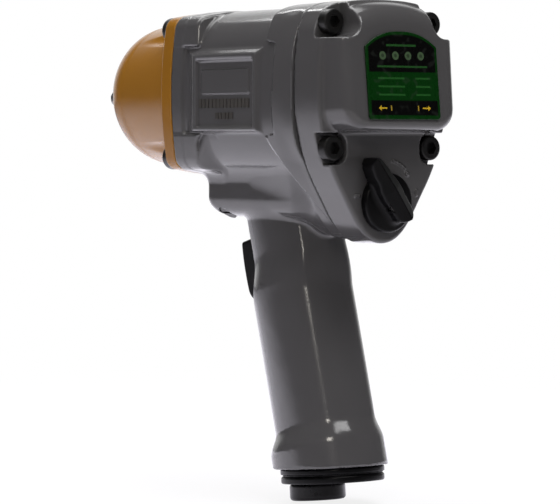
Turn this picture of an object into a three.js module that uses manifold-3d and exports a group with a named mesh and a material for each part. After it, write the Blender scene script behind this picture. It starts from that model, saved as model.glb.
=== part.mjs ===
// Half-inch square drive air impact wrench with a twin-hammer clutch, in millimetres.
// The origin is the middle of the square drive's end face. +X points out of the nose along the
// drive axis, +Y is the tool's left side and +Z is up, so the tool lies at x < 0 and its handle
// hangs down, leaning back.
import * as THREE from "three";
import { mergeVertices } from "three/addons/utils/BufferGeometryUtils.js";
import Module from "manifold-3d";

const wasm = await Module();
wasm.setup();

// ---- clearances ----
const fit = 0.2; // between two pieces that are pressed or bolted together
const running = 0.3; // between a moving piece and what it runs in
const gasketThickness = 0.6;

// ---- sides of round shapes, from the barrel down to the screws ----
const large = 32;
const medium = 20;
const bowedSides = 60;
const small = 10;
const domeSteps = 5;

// ---- square drive and anvil ----
const driveAcross = 12.7;
const driveLength = 15;
const driveChamfer = 1.2;
const driveTurn = -11; // degrees about +X from a corner pointing to the side
const drivePlay = 1; // from the square's shoulder to the nose's front face
const ringGrooveStart = 4;
const ringGrooveWidth = 2.4;
const ringGrooveRadius = 5.2;
const retainingRingRadius = 7.1;
const ringGapHalf = 1.2;
const journalRadius = 9.2;
const collarRadius = 12;
const collarThickness = 3.2;
const anvilShaftRadius = 7.7;
const jawRadius = 11;
const jawAngle = 80;
const pilotRadius = 5;
const pilotLength = 3;

// ---- nose case (hammer case) ----
const noseLength = 61.8;
const noseRadius = 30.5;
const noseFrontRadius = 13.5;
const noseDomeLength = 19;
const noseWall = 3.7;
const noseFrontWall = 12.5;
const noseFlangeThickness = 9;
const flangeHalfWidth = 31.6;
const flangeHalfHeight = 31.6;
const flangePower = 7; // the higher, the squarer the flange
const bushingWall = 3.1;

// ---- hammer cage, pins and hammers ----
const cageFrontPlate = 3.6;
const cageRearPlate = 6.5;
const cageHubRadius = 12;
const cageHubLength = 6.6;
const cageEndGap = 1.5; // from the cage's rear end back to the nose's rear face
const cageStrutStart = 18.6; // how far above and below the axis the two side struts begin
const cageFrontHole = 11.6;
const hammerLength = (noseLength - noseFrontWall - collarThickness - cageFrontPlate
  - cageRearPlate - cageHubLength - cageEndGap - 5 * running) / 2;
const hammerHalfHeight = 15.5;
const hammerBore = 13;
const hammerToothWidth = 7;
const hammerToothReach = 9.6;
const hammerPinRadius = 3;
const hammerPinOffset = 20;
const hammerSwing = 3.5; // degrees to either side
const splineTeeth = 8;
const splineRootRadius = 4.9;
const splineTipRadius = 5.9;

// ---- air motor ----
const barrelBore = 26;
const frontPlateLength = 16;
const cylinderLength = 42;
const cylinderBore = barrelBore - 6;
const cylinderDrop = 1.8; // the bore's axis lies this far below the rotor's axis
const rotorRadius = cylinderBore - 2.6;
const shaftRadius = 6;
const vaneCount = 6;
const vaneThickness = 2;
const vaneSink = 0.1; // how far a vane's tip lies inside the rotor's edge
const slotFloorRadius = shaftRadius + 2.6;
const vaneFloorGap = 0.7;
const vaneHeight = rotorRadius - vaneSink - slotFloorRadius - vaneFloorGap;
const bearingOuter = 14;
const bearingWidth = 8.8;
const bearingRace = 2.4; // wall of each bearing ring
const ballCount = 7;
const dowelRadius = 1.5;
const dowelHeight = barrelBore - 3.6;
const dowelEngagement = 5;

// ---- motor housing ----
const barrelLength = 73.1;
const barrelHalfWidth = 31.3;
const barrelHalfHeight = 31.7;
const barrelPower = 3.3; // 2 would be round
const earLength = 17; // thick corners behind the nose flange
const rearFlangeLength = 11;
const rearTop = 33.5; // height of the rear outline above the axis
const rearHalfWidth = 30.6;
const rearDepth = 56.1; // depth of the rear outline below the axis
const bellyHalfWidth = 18;
const bellyDepth = 48.6;
const bellyCorner = 9;
const panelFront = 16; // from the housing's front face to the side panel
const panelLength = 39;
const panelTop = 13;
const panelBottom = -14;
const panelHalfWidth = 32.6;
const panelBorder = 4.5;
const panelRecess = 1;

// ---- screws ----
const screwRadius = 2.5;
const screwHeadRadius = 4.3;
const screwHeadHeight = 4.4;
const socketRadius = 2.4;
const socketDepth = 2.2;
const noseScrewY = 23.5;
const noseScrewZ = 24.5;
const noseScrewGrip = 14; // length threaded into the housing
const rearScrewY = 23;
const rearScrewTop = 25;
const rearScrewBottom = -21;
const rearScrewGrip = 9;
const screwPocketClearance = 1.6;

// ---- rear cover, label and reversing knob ----
const coverPlate = 14.6; // thickness of the lower part, where the knob sits
const coverPocketFloor = 10; // thickness left under a screw's head
const blockHalfWidth = 26.5;
const blockTop = 31.5;
const blockBottom = -15;
const blockLength = 26.3; // from the cover's front face to the label face's lower edge
const blockTilt = 6; // degrees that the label face leans forward at the top
const blockCorner = 8;
const cavityHalfWidth = 15; // air passage behind the cover's block
const cavityBottom = -8;
const cavityTop = 17;
const portHalfWidth = 4;
const labelHalfWidth = 16;
const labelTop = 16.7;
const labelBottom = -10.6;
const labelArch = 4.5;
const labelThickness = 0.6;
const knobZ = -41;
const knobRadius = 11;
const knobBase = 3;
const knobHeight = 13.5;
const knobBarHalfWidth = 4;
const knobTipReach = 20;
const knobTailReach = 11;
const knobAngle = 35; // degrees that the pointer stands left of vertical, seen from behind
const valveRadius = 7.3;
const valveLength = 22.5;
const valveStemRadius = 4;
const sleeveWall = 1.4;
const detentRadius = 1.6;
const detentOffset = 8;
const crossPinRadius = 1;
const crossPinBehind = 6; // from the knob's inner face to its cross pin
const stemEngagement = 9; // how far the valve's stem reaches into the knob

// ---- handle, measured in its own frame: z along the handle, x forward, from this point ----
const gripOrigin = [-117.6, 0, -74];
const gripLean = 15.5;
const gripBase = -69.5; // where the handle's axis meets its base
const gripTop = 34;
const gripHalfDepth = 20.2;
const gripHalfWidth = 17;
const gripFlare = 3.2; // how much larger the base is on every side
const gripFlareStart = -56;
const deflectorThickness = 5.4;
const deflectorInset = 2.6;
const footLean = 5; // the base's own lean, less than the handle's

// ---- air inlet, square to the base ----
const inletX = 9.5;
const inletBushingRadius = 8;
const inletBushingDepth = 9.5;
const inletBossRadius = 10.6;
const inletBossLength = 6.5;
const inletBore = 5.7;
const screenThickness = 1.2;

// ---- throttle and trigger, in the handle's frame ----
const throttleX = 4;
const inletChannelRadius = 5;
const springLedge = -32;
const throttleChannelRadius = 7.2;
const seatBottom = -15;
const seatThickness = 3;
const seatBore = 4.4;
const throttleDiscRadius = 5.6;
const throttleDiscThickness = 2.4;
const throttleStemRadius = 1.6;
const chamberTop = 18;
const exhaustX = -11.5;
const exhaustRadius = 5.5;
const mufflerLength = 16;
const triggerStemZ = 10;
const triggerStemRadius = 2.2;
const triggerBushingRadius = 4;
const triggerHalfWidth = 6.5;
const triggerTop = 24.6;
const triggerBottom = 0;
const triggerFront = 24.4;
const triggerStroke = 4;
const pocketFloor = 12.6;

// ---- air ways in the casting ----
const airWayRadius = 5; // from the throttle chamber to the reversing valve
const exhaustWayRadius = 3.2; // from the motor to the handle's exhaust bore
const airPortRadius = 2.4; // from the reversing valve up to the motor
const airPortSide = 4.5;
const tailLength = 34; // over which the rear outline shrinks to the barrel and belly

// ---- oil plug in the underside of the belly ----
const plugRadius = 3.6;
const plugDepth = 6;
const plugBehindFront = 10.4;
const plugLean = 36; // degrees that the plug leans out to the left of straight down
const plugSink = 1.2;
const plugSlotHalfWidth = 0.6;
const plugSlotDepth = 1.5;

// ---- stations along the drive axis ----
const noseFront = -(driveLength + drivePlay);
const noseRear = noseFront - noseLength;
const noseFlangeFront = noseRear + noseFlangeThickness;
const barrelFront = noseRear - gasketThickness;
const barrelRear = barrelFront - barrelLength;
const coverFront = barrelRear - gasketThickness;
const coverPlateRear = coverFront - coverPlate;
const coverPocketFace = coverFront - coverPocketFloor;
const noseCavityFront = noseFront - noseFrontWall;
const collarFront = noseCavityFront - running;
const cageFront = collarFront - collarThickness - running;
const hammerFronts = [
  cageFront - cageFrontPlate - running,
  cageFront - cageFrontPlate - 2 * running - hammerLength,
];
const cageRearPlateFront = hammerFronts[1] - hammerLength - running;
const cageRearPlateRear = cageRearPlateFront - cageRearPlate;
const cageRear = cageRearPlateRear - cageHubLength;
const pilotEnd = cageRearPlateFront - pilotLength;
const frontPlateFront = barrelFront - running;
const cylinderFront = frontPlateFront - frontPlateLength;
const cylinderRear = cylinderFront - cylinderLength;
const rearPlateRear = coverFront + running;
const rotorFront = cylinderFront - running;
const rotorRear = cylinderRear + running;
const cageRadius = noseRadius - noseWall - 4 * running;
const motorRadius = barrelBore - running;
const bearingBore = shaftRadius + fit;
const plugX = barrelFront - plugBehindFront;

// ---- materials ----
const finishes = {
  grey_paint: { color: 0x4a4a4c, roughness: 0.3, metalness: 0.1 },
  orange_paint: { color: 0xb87920, roughness: 0.35, metalness: 0.3 },
  black_steel: { color: 0x1c1b1c, roughness: 0.45, metalness: 0.8 },
  bright_steel: { color: 0xb4b6ba, roughness: 0.25, metalness: 1 },
  dark_steel: { color: 0x6a6c70, roughness: 0.4, metalness: 1 },
  bronze: { color: 0xa87b45, roughness: 0.4, metalness: 0.9 },
  brass: { color: 0xc2a04e, roughness: 0.35, metalness: 0.9 },
  black_plastic: { color: 0x17171a, roughness: 0.35, metalness: 0 },
  gasket: { color: 0x111111, roughness: 0.8, metalness: 0 },
  felt: { color: 0x6f6a60, roughness: 0.95, metalness: 0 },
  phenolic: { color: 0x7a5a3a, roughness: 0.6, metalness: 0 },
  label: { color: 0x0b3a14, roughness: 0.3, metalness: 0 },
};

// ---- shapes ----

// A closed solid from a geometry, its doubled vertices merged and its faces pointing out.
function solid(geometry) {
  const plain = geometry.clone();
  plain.deleteAttribute("normal");
  plain.deleteAttribute("uv");
  const merged = mergeVertices(plain, 1e-4);
  const corners = merged.index.array;
  const triangles = [];
  for (let i = 0; i < corners.length; i += 3) {
    const [a, b, c] = corners.slice(i, i + 3);
    if (a !== b && b !== c && c !== a) triangles.push(a, b, c);
  }
  const build = (triVerts) => new wasm.Manifold(new wasm.Mesh({
    numProp: 3,
    vertProperties: Float32Array.from(merged.attributes.position.array),
    triVerts: Uint32Array.from(triVerts),
  }));
  const shape = build(triangles);
  return shape.volume() < 0 ? build(triangles.reverse()) : shape;
}

const join = (first, ...others) => others.reduce((whole, next) => whole.add(next), first);
const cut = (first, ...others) => others.reduce((whole, next) => whole.subtract(next), first);

// A round rod between two points.
function rod(radius, from, to, sides = medium) {
  const start = new THREE.Vector3(...from);
  const along = new THREE.Vector3(...to).sub(start);
  const geometry = new THREE.CylinderGeometry(radius, radius, along.length(), sides);
  geometry.translate(0, along.length() / 2, 0);
  const turn = new THREE.Quaternion().setFromUnitVectors(
    new THREE.Vector3(0, 1, 0), along.clone().normalize());
  geometry.applyQuaternion(turn);
  geometry.translate(start.x, start.y, start.z);
  return solid(geometry);
}

// A round rod along the drive axis, from one station to another.
const shaft = (radius, from, to, sides = medium, y = 0, z = 0) =>
  rod(radius, [from, y, z], [to, y, z], sides);

// A box between two opposite corners.
function block(low, high) {
  const size = high.map((value, i) => value - low[i]);
  const geometry = new THREE.BoxGeometry(...size);
  geometry.translate(...low.map((value, i) => value + size[i] / 2));
  return solid(geometry);
}

// A body turned about the drive axis from [station, radius] points that close on themselves.
function turned(points, sides = large) {
  const profile = points.map(([x, radius]) => new THREE.Vector2(radius, x));
  const geometry = new THREE.LatheGeometry([...profile, profile[0].clone()], sides);
  geometry.rotateZ(-Math.PI / 2);
  return solid(geometry);
}

// An outline drawn in (y, z) and carried along the drive axis. The warp, if given, moves each
// corner of the steps along the way.
const acrossAxis = new THREE.Matrix4().makeBasis(
  new THREE.Vector3(0, 1, 0), new THREE.Vector3(0, 0, 1), new THREE.Vector3(1, 0, 0));

function prism(outline, from, to, { curveSegments = 4, steps = 1, warp } = {}) {
  const length = Math.abs(to - from);
  const geometry = new THREE.ExtrudeGeometry(
    outline, { depth: length, bevelEnabled: false, curveSegments, steps });
  geometry.applyMatrix4(acrossAxis);
  geometry.translate(Math.min(from, to), 0, 0);
  if (warp) warpCorners(geometry, warp);
  return solid(geometry);
}

// The same for an outline drawn in (x, y) and carried up along z, used in the handle's frame.
function column(outline, low, high, { curveSegments = 4, steps = 1, warp } = {}) {
  const geometry = new THREE.ExtrudeGeometry(
    outline, { depth: high - low, bevelEnabled: false, curveSegments, steps });
  geometry.translate(0, 0, low);
  if (warp) warpCorners(geometry, warp);
  return solid(geometry);
}

function warpCorners(geometry, warp) {
  const places = geometry.attributes.position;
  const corner = new THREE.Vector3();
  for (let i = 0; i < places.count; i += 1) {
    corner.fromBufferAttribute(places, i);
    warp(corner);
    places.setXYZ(i, corner.x, corner.y, corner.z);
  }
}

function roundedRectangle(halfWidth, halfHeight, corner) {
  const w = halfWidth - corner;
  const h = halfHeight - corner;
  const outline = new THREE.Shape();
  outline.absarc(w, h, corner, 0, Math.PI / 2);
  outline.absarc(-w, h, corner, Math.PI / 2, Math.PI);
  outline.absarc(-w, -h, corner, Math.PI, 1.5 * Math.PI);
  outline.absarc(w, -h, corner, 1.5 * Math.PI, 2 * Math.PI);
  outline.closePath();
  return outline;
}

// A regular or toothed outline from a radius for each angle.
function polarOutline(count, radiusAt, turn = 0) {
  const points = [];
  for (let i = 0; i < count; i += 1) {
    const angle = turn + (2 * Math.PI * i) / count;
    points.push(new THREE.Vector2(radiusAt(i) * Math.cos(angle), radiusAt(i) * Math.sin(angle)));
  }
  return new THREE.Shape(points);
}

// A square whose sides bow outwards: the power sets how sharp its corners are.
function bowedSquare(halfWidth, halfHeight, power) {
  return polarOutline(bowedSides, (i) => {
    const angle = (2 * Math.PI * i) / bowedSides;
    const across = Math.abs(Math.cos(angle) / halfWidth) ** power;
    const up = Math.abs(Math.sin(angle) / halfHeight) ** power;
    return (across + up) ** (-1 / power);
  });
}

// The egg-shaped outline of the housing's rear end and of the cover, grown by a margin.
function rearOutline(margin = 0) {
  const top = rearTop + margin;
  const side = rearHalfWidth + margin;
  const bottom = -(rearDepth + margin);
  const outline = new THREE.Shape();
  const flank = [0.68 * side, 0.645 * bottom];
  outline.moveTo(0, top);
  outline.bezierCurveTo(0.42 * side, top, 0.74 * side, 0.965 * top, 0.84 * side, 0.84 * top);
  outline.bezierCurveTo(0.97 * side, 0.66 * top, side, 0.3 * top, side, 0);
  outline.bezierCurveTo(side, 0.28 * bottom, 0.86 * side, 0.48 * bottom, ...flank);
  outline.bezierCurveTo(0.5 * side, 0.81 * bottom, 0.33 * side, bottom, 0, bottom);
  outline.bezierCurveTo(-0.33 * side, bottom, -0.5 * side, 0.81 * bottom, -flank[0], flank[1]);
  outline.bezierCurveTo(-0.86 * side, 0.48 * bottom, -side, 0.28 * bottom, -side, 0);
  outline.bezierCurveTo(-side, 0.3 * top, -0.97 * side, 0.66 * top, -0.84 * side, 0.84 * top);
  outline.bezierCurveTo(-0.74 * side, 0.965 * top, -0.42 * side, top, 0, top);
  return outline;
}

// The handle's section: an ellipse with squared-up sides.
function gripOutline(halfDepth, halfWidth, corners = 24) {
  const squareness = 2.5;
  const points = [];
  for (let i = 0; i < corners; i += 1) {
    const angle = (2 * Math.PI * i) / corners;
    const c = Math.cos(angle);
    const s = Math.sin(angle);
    points.push(new THREE.Vector2(
      halfDepth * Math.sign(c) * Math.abs(c) ** (2 / squareness),
      halfWidth * Math.sign(s) * Math.abs(s) ** (2 / squareness)));
  }
  return new THREE.Shape(points);
}

const lerp = (from, to, share) => from + (to - from) * Math.min(Math.max(share, 0), 1);
const radians = THREE.MathUtils.degToRad;

// ---- assembly ----
const wrench = new THREE.Group();
const grip = new THREE.Group();
grip.position.set(...gripOrigin);
grip.rotation.y = radians(gripLean);
wrench.add(grip);
grip.updateMatrix();
const gripToTool = grip.matrix.clone();
const toTool = (shape) => shape.transform(gripToTool.elements);

// The foot is the frame of the handle's base, with z = 0 on the base and z up.
const foot = new THREE.Group();
foot.position.set(0, 0, gripBase).applyMatrix4(gripToTool);
foot.rotation.y = radians(footLean);
wrench.add(foot);
foot.updateMatrix();
const footToGrip = gripToTool.clone().invert().multiply(foot.matrix);

function addPart(name, shape, finish, group = wrench) {
  const { vertProperties, triVerts } = shape.getMesh();
  const geometry = new THREE.BufferGeometry();
  geometry.setAttribute("position", new THREE.BufferAttribute(Float32Array.from(vertProperties), 3));
  geometry.setIndex(new THREE.BufferAttribute(Uint32Array.from(triVerts), 1));
  geometry.computeVertexNormals();
  const mesh = new THREE.Mesh(geometry, new THREE.MeshStandardMaterial(finishes[finish]));
  mesh.name = name;
  group.add(mesh);
}

const noseScrewPlaces = [
  [noseScrewY, noseScrewZ], [-noseScrewY, noseScrewZ],
  [-noseScrewY, -noseScrewZ], [noseScrewY, -noseScrewZ],
];
const rearScrewPlaces = [
  [rearScrewY, rearScrewTop], [-rearScrewY, rearScrewTop],
  [-rearScrewY, rearScrewBottom], [rearScrewY, rearScrewBottom],
];
const screwHole = ([y, z], from, to) => shaft(screwRadius + running, from, to, small, y, z);

// ---- front end: nose case, bushing and gasket ----
function noseCase() {
  const domeEnd = noseFront - noseDomeLength;
  const dome = [];
  for (let i = 0; i <= domeSteps; i += 1) {
    const angle = (Math.PI / 2) * (i / domeSteps);
    dome.push([
      domeEnd + noseDomeLength * Math.cos(angle),
      noseFrontRadius + (noseRadius - noseFrontRadius) * Math.sin(angle),
    ]);
  }
  const bore = collarRadius + 0.8;
  const cavity = noseRadius - noseWall;
  const shell = turned([
    [noseFront, bore], ...dome, [noseRear, noseRadius], [noseRear, cavity],
    [cageFront + 0.6, cavity], [noseCavityFront, cavity - 3], [noseCavityFront, bore],
  ]);
  const flange = prism(
    bowedSquare(flangeHalfWidth, flangeHalfHeight, flangePower), noseFlangeFront, noseRear);
  const openFlange = cut(flange, shaft(cavity, noseFlangeFront + 1, noseRear - 1, large));
  const scallops = noseScrewPlaces.map(([y, z]) =>
    shaft(screwHeadRadius + 1.3, noseFlangeFront, noseFlangeFront + noseDomeLength, medium, y, z));
  const holes = noseScrewPlaces.map((place) => screwHole(place, noseFlangeFront + 1, noseRear - 1));
  return cut(join(shell, openFlange), ...scallops, ...holes);
}

const anvilBushing = turned([
  [noseFront - running, journalRadius + running],
  [noseFront - running, journalRadius + running + bushingWall],
  [noseCavityFront, journalRadius + running + bushingWall],
  [noseCavityFront, journalRadius + running],
], medium);

const noseGasket = cut(
  prism(bowedSquare(flangeHalfWidth, flangeHalfHeight, flangePower), noseRear, barrelFront),
  shaft(barrelBore + 1, noseRear + 1, barrelFront - 1, large),
  ...noseScrewPlaces.map((place) => screwHole(place, noseRear + 1, barrelFront - 1)));

// ---- socket-head screws ----
// The head stands on a seat and the shank runs on from it. Ahead is +1 where the head faces the
// nose and -1 where it faces the rear.
function capScrew([y, z], seat, length, ahead) {
  const top = seat + ahead * screwHeadHeight;
  const socket = shaft(socketRadius, top + ahead, top - ahead * socketDepth, 6, y, z);
  const head = shaft(screwHeadRadius, seat, top, small, y, z);
  const shank = shaft(screwRadius, seat, seat - ahead * length, small, y, z);
  return join(cut(head, socket), shank);
}

// ---- anvil, its friction ring, and the hammers ----
function sectorPrism(radius, middle, width, from, to) {
  const start = radians(middle - width / 2);
  const end = radians(middle + width / 2);
  const outline = new THREE.Shape();
  outline.moveTo(0, 0);
  outline.lineTo(radius * Math.cos(start), radius * Math.sin(start));
  outline.absarc(0, 0, radius, start, end);
  outline.closePath();
  return prism(outline, from, to);
}

function anvil() {
  const half = driveAcross / 2;
  const square = new THREE.Shape([[1, 1], [-1, 1], [-1, -1], [1, -1]].map(
    ([a, b]) => new THREE.Vector2(a * half, b * half).rotateAround(
      new THREE.Vector2(), radians(driveTurn + 45))));
  const diagonal = half * Math.SQRT2;
  // A cone over the square's end takes its corners back, and a turned groove takes the ring.
  const cone = turned([
    [1, 0], [1, diagonal - driveChamfer - 1], [-driveChamfer, diagonal - 0.4],
    [-driveLength - 1, diagonal - 0.4], [-driveLength - 1, 0],
  ], medium);
  const roundedSquare = prism(square, 0, -driveLength - 0.5).intersect(cone);
  const grooveEnd = -(ringGrooveStart + ringGrooveWidth);
  const groove = turned([
    [-ringGrooveStart, ringGrooveRadius], [-ringGrooveStart, diagonal + 2],
    [grooveEnd, diagonal + 2], [grooveEnd, ringGrooveRadius],
  ], medium);
  const body = turned([
    [-driveLength, 0], [-driveLength, journalRadius - 0.8], [-driveLength - 0.8, journalRadius],
    [collarFront, journalRadius], [collarFront, collarRadius],
    [collarFront - collarThickness, collarRadius],
    [collarFront - collarThickness, anvilShaftRadius],
    [cageRearPlateFront + 1, anvilShaftRadius], [cageRearPlateFront + 1, pilotRadius],
    [pilotEnd, pilotRadius], [pilotEnd, 0],
  ], medium);
  const jaws = hammerFronts.map((front, i) =>
    sectorPrism(jawRadius, i === 0 ? 270 : 90, jawAngle, front, front - hammerLength));
  return join(cut(roundedSquare, groove), body, ...jaws);
}

const grooveFront = -ringGrooveStart - fit;
const grooveRear = -(ringGrooveStart + ringGrooveWidth) + fit;
const ringGap = block([grooveRear - 1, 0, -ringGapHalf],
  [grooveFront + 1, retainingRingRadius + 1, ringGapHalf]);
const retainingRing = cut(turned([
  [grooveFront, ringGrooveRadius + fit], [grooveFront, retainingRingRadius],
  [grooveRear, retainingRingRadius], [grooveRear, ringGrooveRadius + fit],
], medium), ringGap);

// Each hammer swings on one pin and is slotted over the other. Its tooth faces away from the
// anvil's jaw at rest. Side is +1 for the hammer that swings on the pin at +Y.
function hammer(front, side) {
  const rear = front - hammerLength;
  const disc = shaft(cageRadius - 2 * running, front, rear, large);
  const band = block([rear, -cageRadius, -hammerHalfHeight], [front, cageRadius, hammerHalfHeight]);
  const bore = shaft(hammerBore, front + 1, rear - 1, medium);
  const tooth = side > 0
    ? block([rear, -hammerToothWidth / 2, hammerToothReach],
      [front, hammerToothWidth / 2, hammerHalfHeight - 1])
    : block([rear, -hammerToothWidth / 2, -hammerHalfHeight + 1],
      [front, hammerToothWidth / 2, -hammerToothReach]);
  const pinHole = shaft(
    hammerPinRadius + running, front + 1, rear - 1, medium, side * hammerPinOffset);
  const travel = 2 * hammerPinOffset * Math.sin(radians(hammerSwing));
  const slotHalf = hammerPinRadius + travel + running;
  const slotInner = hammerPinOffset - hammerPinRadius - running;
  const slot = side > 0
    ? block([rear - 1, -cageRadius, -slotHalf], [front + 1, -slotInner, slotHalf])
    : block([rear - 1, slotInner, -slotHalf], [front + 1, cageRadius, slotHalf]);
  return cut(join(cut(disc.intersect(band), bore), tooth), pinHole, slot);
}

const splineOutline = (grow) => polarOutline(4 * splineTeeth, (i) =>
  (i % 4 < 2 ? splineTipRadius : splineRootRadius) + grow);

function hammerCage() {
  const frontPlate = shaft(cageRadius, cageFront, cageFront - cageFrontPlate, large);
  const rearPlate = shaft(cageRadius, cageRearPlateFront, cageRearPlateRear, large);
  const hub = shaft(cageHubRadius, cageRearPlateFront, cageRear, medium);
  const strutBar = shaft(cageRadius, cageFront, cageRearPlateRear, large);
  const middle = block([cageRearPlateRear - 1, -cageRadius - 1, -cageStrutStart],
    [cageFront + 1, cageRadius + 1, cageStrutStart]);
  const pinHoles = [-1, 1].map((side) => shaft(
    hammerPinRadius + fit, cageFront + 1, cageRearPlateRear - 1, medium, side * hammerPinOffset));
  return cut(
    join(frontPlate, rearPlate, hub, cut(strutBar, middle)),
    shaft(cageFrontHole, cageFront + 1, cageFront - cageFrontPlate - 1, medium),
    shaft(pilotRadius + running, cageRearPlateFront + 1, pilotEnd - running, medium),
    prism(splineOutline(running), pilotEnd, cageRear - 1),
    ...pinHoles);
}

// ---- air motor: rotor, vanes, cylinder, end plates and bearings ----
const rotorFrontEnd = pilotEnd - running - 0.3;
const rotorRearEnd = rearPlateRear + running;
const vaneAngle = (i) => (2 * Math.PI * i) / vaneCount;

function rotor() {
  const body = shaft(rotorRadius, rotorFront, rotorRear, large);
  const slots = [];
  for (let i = 0; i < vaneCount; i += 1) {
    const half = vaneThickness / 2 + running;
    const slot = new THREE.BoxGeometry(
      Math.abs(rotorFront - rotorRear) + 2, rotorRadius + 1 - slotFloorRadius, 2 * half);
    slot.translate((rotorFront + rotorRear) / 2, (rotorRadius + 1 + slotFloorRadius) / 2, 0);
    slot.rotateX(vaneAngle(i));
    slots.push(solid(slot));
  }
  const spline = prism(splineOutline(0), rotorFrontEnd, frontPlateFront - 1);
  const journal = shaft(shaftRadius, frontPlateFront, rotorRearEnd, medium);
  return join(cut(body, ...slots), spline, journal);
}

function vane(i) {
  const tip = rotorRadius - vaneSink;
  const geometry = new THREE.BoxGeometry(
    Math.abs(rotorFront - rotorRear) - 0.2, vaneHeight, vaneThickness);
  geometry.translate((rotorFront + rotorRear) / 2, tip - vaneHeight / 2, 0);
  geometry.rotateX(vaneAngle(i));
  return solid(geometry);
}

function motorCylinder() {
  const tube = cut(
    shaft(motorRadius, cylinderFront, cylinderRear, large),
    shaft(cylinderBore, cylinderFront + 1, cylinderRear - 1, large, 0, -cylinderDrop),
    shaft(dowelRadius + fit, cylinderFront + 1, cylinderRear - 1, small, 0, dowelHeight));
  const slots = [];
  for (let i = 0; i < 4; i += 1) {
    const x = cylinderFront - cylinderLength * (0.2 + 0.2 * i);
    slots.push(block([x - 1.6, -8, -barrelBore - 1], [x + 1.6, 8, -cylinderBore + 4]));
  }
  return cut(tube, ...slots);
}

// An end plate carries its bearing in a pocket that opens away from the cylinder.
function endPlate(inner, outer) {
  const away = Math.sign(outer - inner);
  const pocketFloorStation = outer - away * (bearingWidth + 2 * fit);
  return cut(
    shaft(motorRadius, inner, outer, large),
    shaft(bearingOuter + fit, pocketFloorStation, outer + away, medium),
    shaft(shaftRadius + 3 * fit, inner - away, outer, medium),
    shaft(dowelRadius + fit, inner - away, inner + away * (dowelEngagement + fit), small,
      0, dowelHeight));
}

const cylinderDowel = shaft(dowelRadius, cylinderFront + dowelEngagement,
  cylinderRear - dowelEngagement, small, 0, dowelHeight);

function bearingRing(inner, outer, from, to) {
  return cut(shaft(outer, from, to, medium), shaft(inner, from + 1, to - 1, medium));
}

const raceInner = bearingBore + bearingRace;
const raceOuter = bearingOuter - bearingRace;
const pitchRadius = (raceInner + raceOuter) / 2;
const ballRadius = (raceOuter - raceInner) / 2 - running;

function ballCage(middle) {
  const band = cut(
    shaft(pitchRadius + 0.5, middle - 0.8, middle + 0.8, medium),
    shaft(pitchRadius - 0.5, middle - 1.8, middle + 1.8, medium));
  const balls = [];
  for (let i = 0; i < ballCount; i += 1) {
    const angle = (2 * Math.PI * i) / ballCount;
    const ball = new THREE.SphereGeometry(ballRadius, 6, 4);
    ball.translate(middle, pitchRadius * Math.cos(angle), pitchRadius * Math.sin(angle));
    balls.push(solid(ball));
  }
  return join(band, ...balls);
}

const frontBearing = [frontPlateFront - fit, frontPlateFront - fit - bearingWidth];
const rearBearing = [rearPlateRear + fit + bearingWidth, rearPlateRear + fit];

// ---- motor housing: barrel, belly and handle in one casting ----
function gripWarp(corner) {
  const flare = lerp(0, gripFlare, (gripFlareStart - corner.z) / 10);
  const neck = lerp(0, -1.6, corner.z / 14);
  const growth = flare + neck;
  corner.x *= 1 + growth / gripHalfDepth;
  corner.y *= 1 + growth / gripHalfWidth;
  corner.x += lerp(0, -2.4, (corner.z + 4) / 16);
}

function gripSolid() {
  const bar = column(gripOutline(gripHalfDepth, gripHalfWidth), gripBase - 6, gripTop,
    { steps: 8, warp: gripWarp });
  const below = block([-50, -50, -30], [50, 50, 0]).transform(footToGrip.elements);
  return cut(bar, below);
}

// Everything that is bored or milled out of the handle, in the handle's frame.
function gripCuts() {
  const chamberFront = throttleX + throttleChannelRadius;
  return join(
    rod(inletBushingRadius + fit, [inletX, 0, -1], [inletX, 0, inletBushingDepth])
      .transform(footToGrip.elements),
    rod(inletChannelRadius, [inletX, 0, gripBase + 6], [throttleX, 0, springLedge + 1]),
    rod(throttleChannelRadius, [throttleX, 0, springLedge], [throttleX, 0, chamberTop], medium),
    rod(exhaustRadius, [exhaustX, 0, gripBase - 6], [exhaustX, 0, 6]),
    rod(triggerBushingRadius + fit, [throttleX, 0, triggerStemZ], [pocketFloor + 1, 0, triggerStemZ]),
    block([pocketFloor, -triggerHalfWidth - running, triggerBottom - 2 * running],
      [triggerFront + 8, triggerHalfWidth + running, triggerTop + 2 * running]),
    block([chamberFront - 2, -1, triggerStemZ - 1], [chamberFront, 1, triggerStemZ + 1]));
}

// A point on the oil plug's axis, which runs up into the belly's rounded lower left edge.
function plugPlace(depth) {
  const reach = bellyCorner - depth;
  return [plugX, bellyHalfWidth - bellyCorner + reach * Math.sin(radians(plugLean)),
    -bellyDepth + bellyCorner - reach * Math.cos(radians(plugLean))];
}

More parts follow.
